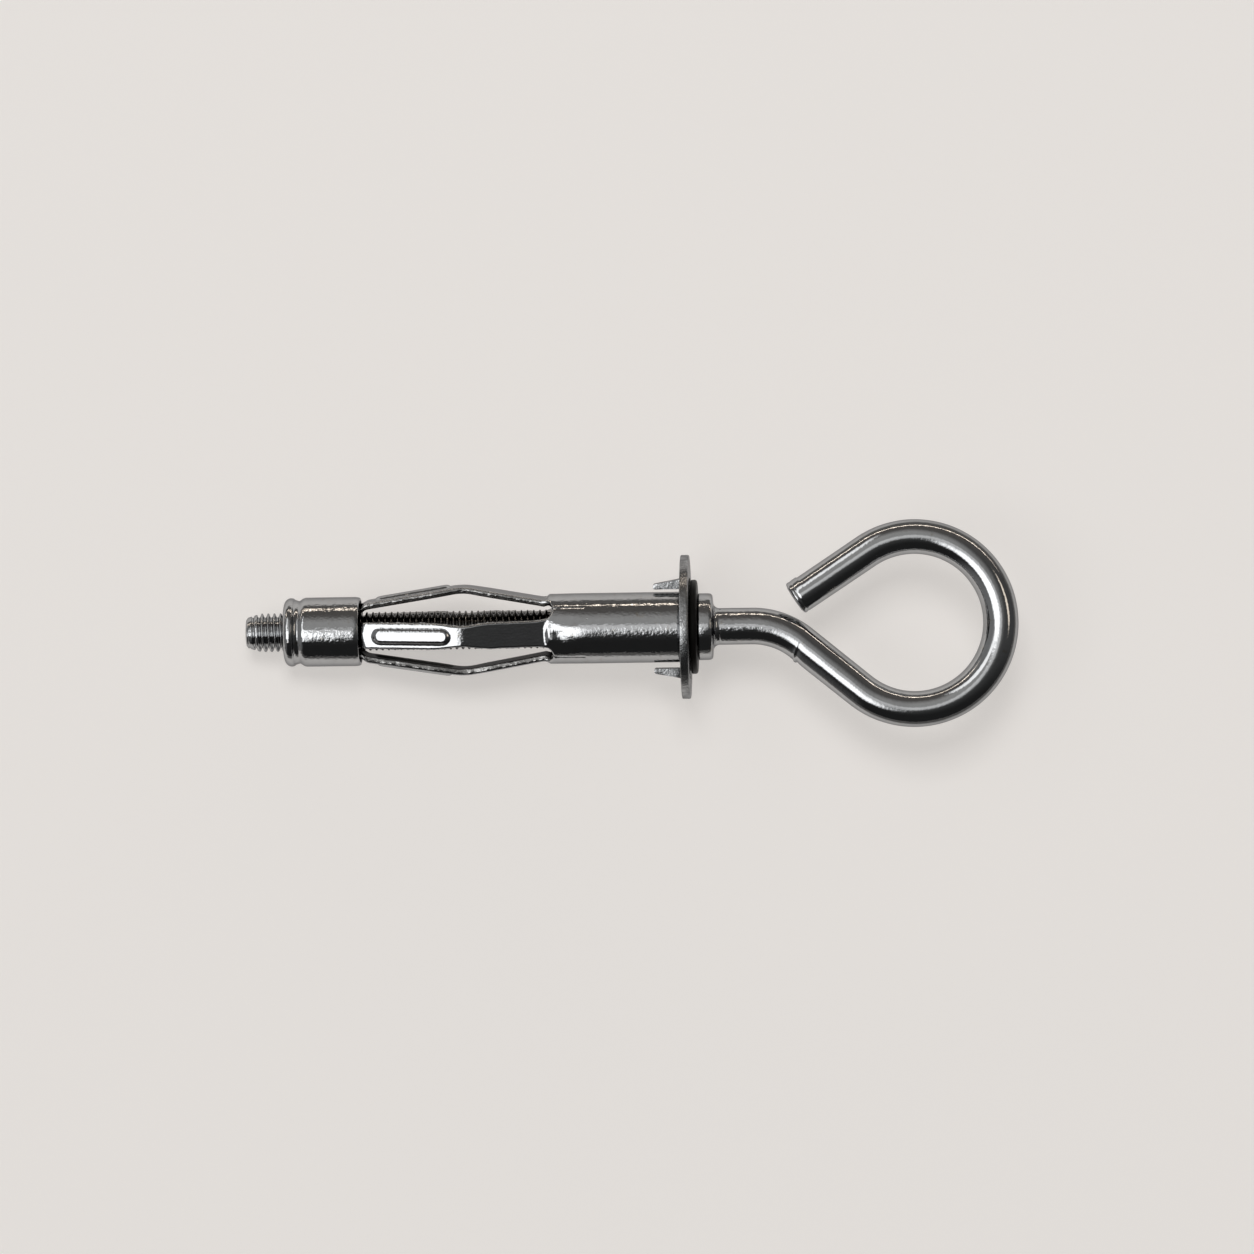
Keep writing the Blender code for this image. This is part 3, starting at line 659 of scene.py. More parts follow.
def flat_leg_height(x):
    """Height of the leg's outer face: two straight runs and a rounded knee."""
    foot = TAIL_RADIUS - FOOT_DROP
    knee = TUBE_RADIUS + KNEE_RISE
    root = TUBE_RADIUS - ROOT_DROP
    rise = (knee - foot) / (KNEE_X - FERRULE_MOUTH_X)
    fall = (root - knee) / (SLOT_START_X - KNEE_X)
    u = x - KNEE_X
    if abs(u) < KNEE_ROUND:
        rounding = (rise - fall) * (u * u + KNEE_ROUND * KNEE_ROUND) / (4.0 * KNEE_ROUND)
        return knee + 0.5 * (rise + fall) * u - rounding
    return knee + (rise if u < 0.0 else fall) * u


def sheet_pair(leg, x, across_leg):
    """An outer and an inner point of the sheet. It is flat in mid leg and round at both ends."""
    lift = rib_lift(x, across_leg) - root_dent(x, across_leg, leg)
    if x < KNEE_X:
        flatness = smooth((x - FERRULE_MOUTH_X) / TUCK_LENGTH)
        round_radius = TAIL_RADIUS
    else:
        flatness = smooth((ROOT_BEND_X + ROOT_BEND_LENGTH - x) / ROOT_BEND_LENGTH)
        round_radius = TUBE_RADIUS
        beside = max(0.0, abs(across_leg) - leg_half_width(x)) / SLOT_RADIUS
        flatness *= 1.0 - smooth(beside)
    height = mix(round_radius, flat_leg_height(x), flatness)
    height -= FOOT_BEND * smooth((FERRULE_MOUTH_X + FOOT_BEND_LENGTH - x) / FOOT_BEND_LENGTH)
    curvature = (1.0 - flatness) / round_radius
    angle = across_leg * curvature
    sideways, drop = across_leg, 0.0
    if curvature * HALF_PITCH > ALMOST_FLAT:
        sideways = math.sin(angle) / curvature
        drop = (1.0 - math.cos(angle)) / curvature
    normal = Vector((0.0, -math.sin(angle), math.cos(angle)))
    outer = Vector((x, -sideways, height - drop)) + lift * normal
    turn = Matrix.Rotation(leg_turn(leg), 3, "X")
    return turn @ outer, turn @ (outer - SLEEVE_SHEET * normal)


print("Knee height:", round(flat_leg_height(KNEE_X), 3), "mm above the axis")

# %% [markdown]
# ## Patches of the sheet
#
# The sheet is laid out in patches: the four legs, the four places where a leg joins the tube
# between two round slot ends, and the tube with its thin neck in the flange. Each patch is a
# grid of point pairs. Patches share their borders, and what is left open is the sheet's edge.

# %% Patches of the legs and their roots
LEG_COLUMNS = 30
SLOT_COLUMNS = 9
ROOT_ROWS = 20
LEG_STEP = 0.17


def leg_patch(leg):
    steps = math.ceil((SLOT_START_X - LEG_END_X) / LEG_STEP)
    grid = []
    for x in spaced(LEG_END_X, SLOT_START_X, steps):
        left = leg_half_width(x, shear_waver(x, leg, 0))
        right = leg_half_width(x, shear_waver(x, leg, 1))
        grid.append([sheet_pair(leg, x, mix(-left, right, t)) for t in spaced(0, 1, LEG_COLUMNS)])
    return grid


def quarter_columns():
    """Lengths across from the middle of one slot, over a leg, to the middle of the next slot."""
    angles = spaced(math.pi / 2.0, 0.0, SLOT_COLUMNS)
    slot = sorted(HALF_PITCH - SLOT_RADIUS * math.cos(angle) for angle in angles)
    leg = spaced(-FACE_WIDTH / 2.0, FACE_WIDTH / 2.0, LEG_COLUMNS)
    return [-place for place in reversed(slot[1:])] + leg + slot[1:]


def slot_end_x(across_leg):
    beside = HALF_PITCH - abs(across_leg)
    if beside >= SLOT_RADIUS:
        return SLOT_START_X
    return SLOT_START_X + math.sqrt(SLOT_RADIUS**2 - beside**2)


def root_patch(leg):
    return [
        [
            sheet_pair(leg, mix(slot_end_x(place), ROOT_END_X, i / ROOT_ROWS), place)
            for place in quarter_columns()
        ]
        for i in range(ROOT_ROWS + 1)
    ]


print(len(quarter_columns()), "columns of points for a quarter of the tube")

# %% Patches of the tube and its neck
TUBE_STEP = 0.50
SHOULDER_X = -0.55
NECK_START_X = -0.10
NECK_RADIUS = 4.10
NECK_FLARE = 0.35


def tube_patch(leg):
    steps = math.ceil((NECK_START_X - ROOT_END_X) / TUBE_STEP)
    stretch = spaced(ROOT_END_X, SHOULDER_X, steps)
    grid = [[sheet_pair(leg, x, place) for place in quarter_columns()] for x in stretch]
    bore = TUBE_RADIUS - SLEEVE_SHEET
    flare_x = NECK_END_X - NECK_FLARE
    neck = (
        ((NECK_START_X, TUBE_RADIUS), (SHOULDER_X, bore)),
        ((NECK_START_X, NECK_RADIUS), (NECK_START_X, bore)),
        ((flare_x, NECK_RADIUS), (flare_x, bore)),
        ((NECK_END_X, NECK_RADIUS + NECK_FLARE), (NECK_END_X, bore + NECK_FLARE)),
    )
    for rims in neck:
        row = []
        for place in quarter_columns():
            turn = Matrix.Rotation(leg_turn(leg) + place / TUBE_RADIUS, 3, "X")
            row.append(tuple(turn @ Vector((x, 0.0, radius)) for x, radius in rims))
        grid.append(row)
    return grid


patches = [patch(leg) for leg in range(LEGS) for patch in (leg_patch, root_patch, tube_patch)]
print(len(patches), "patches")

# %% [markdown]
# ## The sheared edge
#
# Shears leave three zones on an edge: the face rolls over, then comes a smooth band up to a
# ridge, and behind the ridge the steel tore away and falls back. The jagged ridge draws the
# broken white line along each leg, between a pale and a dark band. A plain square edge with a
# bevel would draw no such line. The zones are a profile: at a share of the sheet's thickness,
# how far the edge stands out.

# %% Profile of the sheared edge
EDGE_PROFILE = (
    (0.10, 0.135),
    (0.18, 0.190),
    (0.27, 0.222),
    (0.36, 0.238),
    (0.44, 0.262),
    (0.53, 0.225),
    (0.65, 0.200),
    (0.80, 0.168),
    (0.92, 0.135),
    (0.985, 0.100),
)
RIDGE = 0.44  # share of the thickness where the torn zone starts
RIDGE_WANDER = 0.07
WANDER_STEPS = (1.3, 1.0, 1.0)  # steps of the noise along and across the sleeve
WANDER_REACH = 0.3  # how far from the ridge the zones still wander with it
EDGE_TEAR = 0.030
TEAR_STEPS = (2.2, 4.0, 4.0)
TEAR_START = 0.1
RIDGE_TEAR = 2.2  # the ridge itself is the most jagged
RIDGE_WIDTH = 0.09


def edge_directions(pairs, free_edges):
    """For each point of a free edge, the direction along the sheet and out of it."""
    outwards = {}
    for a, b in free_edges:
        run = (Vector(pairs[b][0]) - Vector(pairs[a][0])).normalized()
        for k in (a, b):
            thickness = (Vector(pairs[k][0]) - Vector(pairs[k][1])).normalized()
            outwards[k] = outwards.get(k, Vector()) + run.cross(thickness)
    return {k: direction.normalized() for k, direction in outwards.items()}


def edge_strip(pair, outward):
    """Points from the outer to the inner face. The neck in the flange is left plain."""
    outer, inner = pair
    sheared = 1.0 if outer.x < ROOT_END_X else 0.0
    strip = []
    for share, height in EDGE_PROFILE:
        place = outer.lerp(inner, share)
        wander = RIDGE_WANDER * noise_of(place, WANDER_STEPS)
        shifted = share + wander * bump_at(share - RIDGE, WANDER_REACH)
        torn = EDGE_TEAR * noise_of(place, TEAR_STEPS)
        torn *= 1.0 + RIDGE_TEAR * bump_at(share - RIDGE, RIDGE_WIDTH)
        out = height + torn * smooth((share - RIDGE + TEAR_START) / TEAR_START)
        strip.append(outer.lerp(inner, shifted) + sheared * out * outward)
    return strip


print("The ridge stands", max(height for _, height in EDGE_PROFILE), "mm past the face")

# %% [markdown]
# ## Close the sheet
#
# Both faces of the sheet are filled first. An edge that only one face uses is a free edge of
# the sheet, and a strip with the sheared profile joins outside to inside there.

# %% Find the free edges
SHARED_DIGITS = 3  # points that agree to a thousandth of a millimetre are one point


def join_patches(grids):
    """The point pairs of all patches, and the faces between them."""
    numbers, pairs, quads = {}, [], []
    for grid in grids:
        rows = []
        for row in grid:
            numbered = []
            for outer, inner in row:
                key = tuple(round(value, SHARED_DIGITS) for value in outer)
                if key not in numbers:
                    numbers[key] = len(pairs)
                    pairs.append((outer, inner))
                numbered.append(numbers[key])
            rows.append(numbered)
        for row, after in zip(rows, rows[1:]):
            for j in range(len(row) - 1):
                quads.append((row[j], row[j + 1], after[j + 1], after[j]))
    return pairs, quads


def edges_of_one_face(quads):
    uses = {}
    for quad in quads:
        for a, b in zip(quad, quad[1:] + quad[:1]):
            uses.setdefault(frozenset((a, b)), []).append((a, b))
    return [found[0] for found in uses.values() if len(found) == 1]


sheet_pairs, sheet_quads = join_patches(patches)
free_edges = edges_of_one_face(sheet_quads)
print(len(sheet_pairs), "point pairs,", len(free_edges), "free edges")

# %% Build the sleeve
def closed_sheet(name, pairs, quads, free_edges):
    count = len(pairs)
    faces = quads + [tuple(count + k for k in reversed(quad)) for quad in quads]
    points = [outer for outer, _ in pairs] + [inner for _, inner in pairs]
    rails = {}
    for k, outward in edge_directions(pairs, free_edges).items():
        start = len(points)
        points += edge_strip(pairs[k], outward)
        rails[k] = [k, *range(start, len(points)), k + count]
    for a, b in free_edges:
        for i in range(len(EDGE_PROFILE) + 1):
            faces.append((rails[b][i], rails[a][i], rails[a][i + 1], rails[b][i + 1]))
    return new_piece(name, points, faces)


sleeve = closed_sheet("slotted_sleeve", sheet_pairs, sheet_quads, free_edges)
soften_edges(sleeve, width=0.03, limit_degrees=62.0)
stock_from_place(sleeve)
report(sleeve)

# %% [markdown]
# ## Which faces were cut, and which look inwards
#
# Rolled faces are bright and fine-grained, while a sheared edge is torn and a little rough. The
# inside of the tube is darker and a little rougher; its dark colour is painted shade, where little
# light reaches inside the tube. The material has to know them apart. Painting by hand would do it.
# Here a face is marked as cut when it looks sideways along the sheet, and as inner when it looks
# towards the axis.

# %% Mark the cut and the inner faces of the sleeve
FACING = 0.45  # a rolled face looks at least this much out or in
LEG_MARGIN = 0.2


def mark_faces(piece):
    """Writes two marks on each face: cut by the shears, and looking towards the axis."""
    marks = {"cut": [], "inner": []}
    for face in piece.data.polygons:
        place = to_anchor @ face.center / MM
        out = Vector((0.0, place.y, place.z)).normalized()
        if place.x <= SLOT_START_X - LEG_MARGIN:
            leg = round((math.atan2(-place.y, place.z) - SLEEVE_TURN) / (FULL_TURN / LEGS))
            out = Vector((0.0, -math.sin(leg_turn(leg)), math.cos(leg_turn(leg))))
        facing = (to_anchor.to_3x3() @ face.normal).dot(out)
        marks["cut"].append(float(abs(facing) < FACING and place.x < ROOT_END_X))
        marks["inner"].append(float(facing < -FACING))
    for name, values in marks.items():
        piece.data.attributes.new(name, "FLOAT", "FACE").data.foreach_set("value", values)
        print(f"{name}: {sum(values):.0f} of {len(values)} faces")


mark_faces(sleeve)

# %% [markdown]
# ## Turned pieces
#
# Flange, washer and ferrule are round, so each one is an outline turned about the axis. Blender's
# Screw modifier would do this as well. A short function keeps the outline in view and lets the
# radius waver slightly, as it does on pressed parts.

# %% Turn an outline into a piece
TURNED_SIDES = 144
WAVER_STEPS = (0.4, 1.5, 1.5)  # steps of the noise along the axis and round it
WAVER_MEAN = 0.5  # on average the surface lies this share of the waver further in


def turned(name, outline, waver=0.0):
    points = []
    for k in range(TURNED_SIDES):
        angle = FULL_TURN * (k + 0.5) / TURNED_SIDES
        turn = Matrix.Rotation(angle, 3, "X")
        for x, radius in outline:
            uneven = noise_of((x, math.cos(angle), math.sin(angle)), WAVER_STEPS)
            points.append(turn @ Vector((x, 0.0, radius + waver * (uneven - WAVER_MEAN))))
    faces = loop_faces(range(TURNED_SIDES), len(outline))
    return new_piece(name, points, [[k % len(points) for k in face] for face in faces])


print("Turned pieces have", TURNED_SIDES, "sides")

# %% [markdown]
# ## The flange and its claws
#
# The flange is a punched disc. Two claws were pressed out of it to bite into the board, and each
# left a window behind. The claws are added and the windows cut with Boolean modifiers, because
# that leaves true edges, and a bevel then breaks them.

# %% Turn the disc
FLANGE_HOLE = 4.25
FLANGE_DISH = 0.10
BEARING_RADIUS = 4.70

flange = turned(
    "clawed_flange",
    eased(
        [
            (FLANGE_DISH, FLANGE_HOLE, 0.0),
            (0.0, BEARING_RADIUS, 0.10),
            (0.0, FLANGE_RADIUS, 0.16),
            (FLANGE_THICKNESS, FLANGE_RADIUS, 0.20),
            (FLANGE_THICKNESS, FLANGE_HOLE + NECK_FLARE, 0.05),
            (FLANGE_THICKNESS - 0.15, FLANGE_HOLE + NECK_FLARE, 0.0),
            (FLANGE_THICKNESS - 0.50, FLANGE_HOLE, 0.0),
        ]
    ),
)
report(flange)

# %% Sizes and stations of a claw
CLAW_LENGTH = 3.60
CLAW_ROOT_WIDTH = 1.50
CLAW_TIP_WIDTH = 0.62
CLAW_TIP_ROUND = 0.28
CLAW_TIP_END = 0.97  # the rounding stops short of a point
CLAW_BEND_RADIUS = 0.35
CLAW_FROM_NECK = 0.40
CLAW_INNER_RADIUS = FLANGE_HOLE + NECK_FLARE + CLAW_FROM_NECK
CLAW_STEP_OUT = 0.35
CLAW_THINNING = 0.03  # pressing takes this off each face
CLAW_HALF_SHEET = FLANGE_THICKNESS / 2.0 - CLAW_THINNING
CLAW_STEPS = (8, 5, 6)  # stations round the bend, along the straight and round the tip
SHEAR_GAP = 0.10
CLAW_MIDDLE_RADIUS = CLAW_BEND_RADIUS + FLANGE_THICKNESS / 2.0
CLAW_FLAT_LENGTH = CLAW_MIDDLE_RADIUS * math.pi / 2.0 + CLAW_LENGTH - CLAW_BEND_RADIUS


def claw_stations():
    """Stations (z, x, bending angle, width, inset) from the sheet, round the bend, to the tip."""
    round_bend, along, round_tip = CLAW_STEPS
    middle = FLANGE_THICKNESS / 2.0
    stations = [(CLAW_MIDDLE_RADIUS + middle, middle, 0.0, CLAW_ROOT_WIDTH, 0.0)]
    for angle in spaced(0.0, math.pi / 2.0, round_bend):
        share = CLAW_MIDDLE_RADIUS * angle / CLAW_FLAT_LENGTH
        z = CLAW_MIDDLE_RADIUS * (1.0 - math.sin(angle))
        x = -CLAW_BEND_RADIUS + CLAW_MIDDLE_RADIUS * math.cos(angle)
        stations.append((z, x, angle, mix(CLAW_ROOT_WIDTH, CLAW_TIP_WIDTH, share), 0.0))
    start_x = stations[-1][1]
    start_width = stations[-1][3]
    round_start = 1.0 - CLAW_TIP_ROUND / (start_x + CLAW_LENGTH)
    for t in spaced(0.0, round_start, along)[1:] + spaced(round_start, 1.0, round_tip)[1:]:
        width = mix(start_width, CLAW_TIP_WIDTH, t)
        u = CLAW_TIP_END * max(0.0, t - round_start) / (1.0 - round_start)
        inset = CLAW_TIP_ROUND * (1.0 - math.sqrt(1.0 - u * u))
        stations.append((0.0, mix(start_x, -CLAW_LENGTH, t), math.pi / 2.0, width, inset))
    return stations


print(f"Each claw stands {CLAW_LENGTH} mm out of the flange")

# %% A claw, and the window it leaves
def make_claw(number, turn):
    inner = CLAW_INNER_RADIUS + number * CLAW_STEP_OUT
    points = []
    stations = claw_stations()
    for z, x, angle, width, inset in stations:
        normal = Vector((math.cos(angle), 0.0, math.sin(angle)))
        near, far = inset, width - inset
        for y, side in ((near, 1.0), (far, 1.0), (far, -1.0), (near, -1.0)):
            point = Vector((x, inner + y, z)) + side * CLAW_HALF_SHEET * normal
            points.append(turn @ point)
    faces = loop_faces(range(len(stations) - 1), 4)
    last = len(points) - 4
    faces += [(0, 1, 2, 3), (last, last + 1, last + 2, last + 3)]
    return new_piece(f"claw_tool_{number}", points, faces)


def make_window(number, turn):
    inner = CLAW_INNER_RADIUS + number * CLAW_STEP_OUT
    tip_z = CLAW_MIDDLE_RADIUS - CLAW_FLAT_LENGTH
    corners = (
        (inner - SHEAR_GAP, CLAW_MIDDLE_RADIUS),
        (inner + CLAW_ROOT_WIDTH + SHEAR_GAP, CLAW_MIDDLE_RADIUS),
        (inner + CLAW_TIP_WIDTH + SHEAR_GAP, tip_z),
        (inner - SHEAR_GAP, tip_z),
    )
    depths = (-FLANGE_THICKNESS, 2.0 * FLANGE_THICKNESS)
    points = [turn @ Vector((x, y, z)) for x in depths for y, z in corners]
    faces = [(0, 1, 2, 3), (7, 6, 5, 4)] + loop_faces(range(1), 4)
    return new_piece(f"window_tool_{number}", points, faces)


print(f"Each window has {SHEAR_GAP} mm of air round its claw")

# %% Press the claws out of the disc
def boolean_with(piece, tool, operation):
    modifier = piece.modifiers.new(operation.lower(), "BOOLEAN")
    modifier.operation = operation
    modifier.object = tool
    modifier.solver = "EXACT"
    apply_modifiers(piece)
    bpy.data.objects.remove(tool)


for number in range(2):
    turn = Matrix.Rotation(SLEEVE_TURN + math.pi * number, 3, "X")
    boolean_with(flange, make_window(number, turn), "DIFFERENCE")
    boolean_with(flange, make_claw(number, turn), "UNION")
soften_edges(flange, width=0.09, limit_degrees=40.0)
flange.data.shade_smooth()
weighted = flange.modifiers.new("even shading", "WEIGHTED_NORMAL")
weighted.keep_sharp = True
apply_modifiers(flange)
stock_from_place(flange)
report(flange)

# %% [markdown]
# ## The sealing washer
#
# The rubber washer is squeezed between flange and collar, so its rim bulges a little. A rim of
# one plain radius would look machined. Its outline has large soft corners instead.

# %% Turn the washer
WASHER_CLEARANCE = 0.15
WASHER_BORE = WIRE_RADIUS + WASHER_CLEARANCE
washer = turned(
    "rubber_washer",
    eased(
        [
            (WASHER_X, WASHER_BORE, 0.05),
            (WASHER_X, WASHER_RADIUS, 0.34),
            (WASHER_END_X, WASHER_RADIUS, 0.42),
            (WASHER_END_X, WASHER_BORE, 0.05),
        ],
        steps=8,
    ),
    waver=0.03,
)
stock_from_place(washer)
report(washer)

# %% [markdown]
# ## The end ferrule
#
# The ferrule is a drawn cap. Its closed end was folded to a round bead, a groove behind the bead
# grips the nut, and its mouth is rolled in a little over the ends of the legs. Only the bead is
# a true arc, so the outline mixes an arc with eased corners.

# %% Turn the ferrule
BEAD_ROUND = 0.85
BEAD_SET_BACK = 0.05
FERRULE_BORE = 4.0
GROOVE_FROM_END = 1.95
GROOVE_X = FERRULE_END_X + GROOVE_FROM_END
GROOVE_DEPTH = 0.45
GROOVE_RAMP = 0.62
HOLE_CLEARANCE = 0.25
HOLE_RADIUS = THREAD_RADIUS + HOLE_CLEARANCE
END_WALL = 0.60


def bead_arc(start, end, steps):
    centre_x = FERRULE_END_X + BEAD_ROUND
    centre_r = FERRULE_RADIUS - BEAD_SET_BACK - BEAD_ROUND
    angles = [math.radians(angle) for angle in spaced(start, end, steps)]
    return [
        (centre_x + BEAD_ROUND * math.cos(a), centre_r + BEAD_ROUND * math.sin(a)) for a in angles
    ]


ferrule_outline = [
    (FERRULE_END_X, HOLE_RADIUS),
    *bead_arc(180.0, 60.0, 14),
    *eased(
        [
            (FERRULE_END_X + 1.5 * BEAD_ROUND, FERRULE_RADIUS - 0.25, 0.0),
            (GROOVE_X, FERRULE_RADIUS - GROOVE_DEPTH, 0.16),
            (GROOVE_X + GROOVE_RAMP, FERRULE_RADIUS - 0.01, 0.34),
            (FERRULE_MOUTH_X - 0.42, FERRULE_RADIUS, 0.30),
            (FERRULE_MOUTH_X, FERRULE_RADIUS - 0.13, 0.12),
            (FERRULE_MOUTH_X, FERRULE_BORE + 0.03, 0.05),
            (FERRULE_MOUTH_X - 0.6, FERRULE_BORE, 0.10),
            (GROOVE_X + GROOVE_RAMP, FERRULE_BORE, 0.10),
            (GROOVE_X, FERRULE_BORE - GROOVE_DEPTH, 0.10),
            (GROOVE_X - GROOVE_RAMP, FERRULE_BORE, 0.10),
            (FERRULE_END_X + END_WALL, FERRULE_BORE, 0.10),
            (FERRULE_END_X + END_WALL, HOLE_RADIUS, 0.0),
        ],
        closed=False,
        steps=6,
    ),
]
ferrule = turned("drawn_ferrule", ferrule_outline, waver=0.012)
stock_from_place(ferrule)
report(ferrule)

# %% [markdown]
# ## Ride and replace
#
# Each dressed piece now stands in for its plain solid. It rides on the same body, so it moves
# when a joint moves. The nut is hidden in the ferrule: its plain solid stays and only gets a
# better material.

# %% Tie the pieces to the bodies
DRESSED = (
    (eye_bolt, "eye_bolt", "eye_bolt", "zinc_wire"),
    (sleeve, "anchor", "anchor_sleeve", "zinc_sheet"),
    (flange, "anchor", "flange_plate", "zinc_plate"),
    (washer, "washer", "sealing_washer", "black_rubber"),
    (ferrule, "anchor", "end_ferrule", "zinc_ferrule"),
)
for piece, body, node, finish in DRESSED:
    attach(piece, body)
    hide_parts(node)
    print(f"{piece.name} rides on {body} and stands for {node}")

# %% [markdown]
# ## Shader groups
#
# Several finishes share the same effects: a fine grain in the plate, cloudy tones, pits and
# warm stains. Each effect is a node group, built once and given other numbers in each material.
# A group takes the place on the stock and puts out a value, never a shader.

# %% Build a node group
def new_group(name, inputs, outputs):
    """A shader group. Inputs are (name, kind, value), and outputs are names of values."""
    group = bpy.data.node_groups.new(name, "ShaderNodeTree")
    for label, kind, value in inputs:
        socket = group.interface.new_socket(name=label, in_out="INPUT", socket_type=kind)
        if value is not None:
            socket.default_value = value
    for label in outputs:
        group.interface.new_socket(name=label, in_out="OUTPUT", socket_type="NodeSocketFloat")
    entry = group.nodes.new("NodeGroupInput")
    leave = group.nodes.new("NodeGroupOutput")
    return group, entry.outputs, leave.inputs


def fill_sockets(tree, node, **sockets):
    """Each socket is given a value, or joined to another socket. _0 is the first, and so on."""
    for label, value in sockets.items():
        key = int(label[1:]) if label[1:].isdigit() else label.replace("_", " ")
        if isinstance(value, bpy.types.NodeSocket):
            tree.links.new(value, node.inputs[key])
        else:
            node.inputs[key].default_value = value


def add_node(tree, kind, settings=None, **sockets):
    node = tree.nodes.new(kind)
    for label, value in (settings or {}).items():
        setattr(node, label, value)
    fill_sockets(tree, node, **sockets)
    return node


VECTOR, VALUE = "NodeSocketVector", "NodeSocketFloat"
print("Groups put out values only")

# %% [markdown]
# ### One node each
#
# A material is mostly arithmetic, noise and blends. Adding each node by hand fills pages with
# the same lines. Each helper here adds one node and gives back its result, so that a recipe
# reads like a sum.

# %% Helpers for the usual nodes
def calculate(tree, operation, *values):
    sockets = {f"_{i}": value for i, value in enumerate(values)}
    return add_node(tree, "ShaderNodeMath", {"operation": operation}, **sockets).outputs[0]


def calculate_vector(tree, operation, *vectors):
    """A new vector, or a length."""
    sockets = {f"_{i}": vector for i, vector in enumerate(vectors)}
    node = add_node(tree, "ShaderNodeVectorMath", {"operation": operation}, **sockets)
    return node.outputs["Value" if operation == "LENGTH" else "Vector"]


def noise_at(tree, place, scale, detail, roughness):
    node = add_node(tree, "ShaderNodeTexNoise", Vector=place, Scale=scale)
    fill_sockets(tree, node, Detail=detail, Roughness=roughness)
    return node.outputs[0]


def blend_colours(tree, share, start, end):
    settings = {"data_type": "RGBA"}
    return add_node(tree, "ShaderNodeMix", settings, _0=share, _6=start, _7=end).outputs[2]


def blend_values(tree, share, start, end):
    settings = {"data_type": "FLOAT"}
    return add_node(tree, "ShaderNodeMix", settings, _0=share, _2=start, _3=end).outputs[0]


def ranged(tree, value, low, high, start=0.0, end=1.0, kind="SMOOTHSTEP"):
    """Goes from start to end while the value goes from low to high."""
    node = add_node(tree, "ShaderNodeMapRange", {"interpolation_type": kind}, Value=value)
    fill_sockets(tree, node, _1=low, _2=high, _3=start, _4=end)
    return node.outputs[0]


def add_group(tree, group, **sockets):
    return add_node(tree, "ShaderNodeGroup", {"node_tree": group}, **sockets).outputs


def add_bump(tree, distance, height):
    """The distance is how high, in millimetres, a height of 1 stands."""
    return add_node(tree, "ShaderNodeBump", Strength=1.0, Distance=distance * MM, Height=height)


print("Shader helpers are ready")

# %% [markdown]
# ### Grain
#
# Zinc plate isn't a perfect mirror. Fine crystals break up the edge of a highlight into specks,
# and drawing leaves lines along the wire. Both are noise: equal in all directions for crystals,
# and stretched along X for lines. Slow waves, left by the press, make the edge of a highlight
# wander. Their sum is a height that a Bump node can use.

# %% The grain group
LINE_STRETCH = (0.22, 1.0, 1.0)
CLOUD_SCALE = 0.75


def make_grain_group():
    inputs = (
        ("Place", VECTOR, None),
        ("Crystal size", VALUE, 0.2),
        ("Line width", VALUE, 0.25),
        ("Line share", VALUE, 0.5),
        ("Wave height", VALUE, 1.2),
    )
    group, given, out = new_group("zinc grain", inputs, ("Height", "Cloud"))
    per_crystal = calculate(group, "DIVIDE", 1.0, given["Crystal size"])
    crystal = noise_at(group, given["Place"], per_crystal, detail=1.0, roughness=0.5)
    per_line = calculate(group, "DIVIDE", 1.0, given["Line width"])
    drawn = calculate_vector(group, "MULTIPLY", given["Place"], LINE_STRETCH)
    lines = noise_at(group, drawn, per_line, detail=1.0, roughness=0.5)
    both = blend_values(group, given["Line share"], crystal, lines)
    cloud = noise_at(group, given["Place"], CLOUD_SCALE, detail=4.0, roughness=0.6)
    height = calculate(group, "MULTIPLY_ADD", cloud, given["Wave height"], both)
    group.links.new(height, out["Height"])
    group.links.new(cloud, out["Cloud"])
    return group


grain_group = make_grain_group()
print(grain_group.name, "is ready")

# %% [markdown]
# ### Pits and stains
#
# Handling leaves small round pits, each a dark dot with a bright rim, and thin plate yellows in
# patches. A cell texture has one point in every cell, and near that point is the pit. Stains are
# the peaks of a slow noise.

# %% The wear group
STAIN_SCALE = 0.9
STAIN_PEAK = 0.85  # the noise at which a stain is full


def make_wear_group():
    inputs = (
        ("Place", VECTOR, None),
        ("Pit spacing", VALUE, 2.2),
        ("Pit size", VALUE, 0.09),
        ("Stain spread", VALUE, 0.5),
    )
    group, given, out = new_group("wear", inputs, ("Pit", "Stain"))
    per_pit = calculate(group, "DIVIDE", 1.0, given["Pit spacing"])
    cells = add_node(group, "ShaderNodeTexVoronoi", Vector=given["Place"], Scale=per_pit)
    size = calculate(group, "MULTIPLY", given["Pit size"], per_pit)
    pit = ranged(group, cells.outputs["Distance"], 0.0, size, 1.0, 0.0)
    tone = noise_at(group, given["Place"], STAIN_SCALE, detail=5.0, roughness=0.65)
    start = calculate(group, "SUBTRACT", STAIN_PEAK, given["Stain spread"])
    group.links.new(pit, out["Pit"])
    group.links.new(ranged(group, tone, start, STAIN_PEAK), out["Stain"])
    return group


wear_group = make_wear_group()
print(wear_group.name, "is ready")

# %% [markdown]
# ## Zinc plate
#
# All the steel is zinc plated, and yet each piece looks different: drawn wire is streaky, rolled
# sheet is mottled, the punched flange is satin. One function makes them all. It mixes the colour
# from bright, dull and stained zinc, raises the roughness in pits, and puts the grain and the
# pits into one bump.

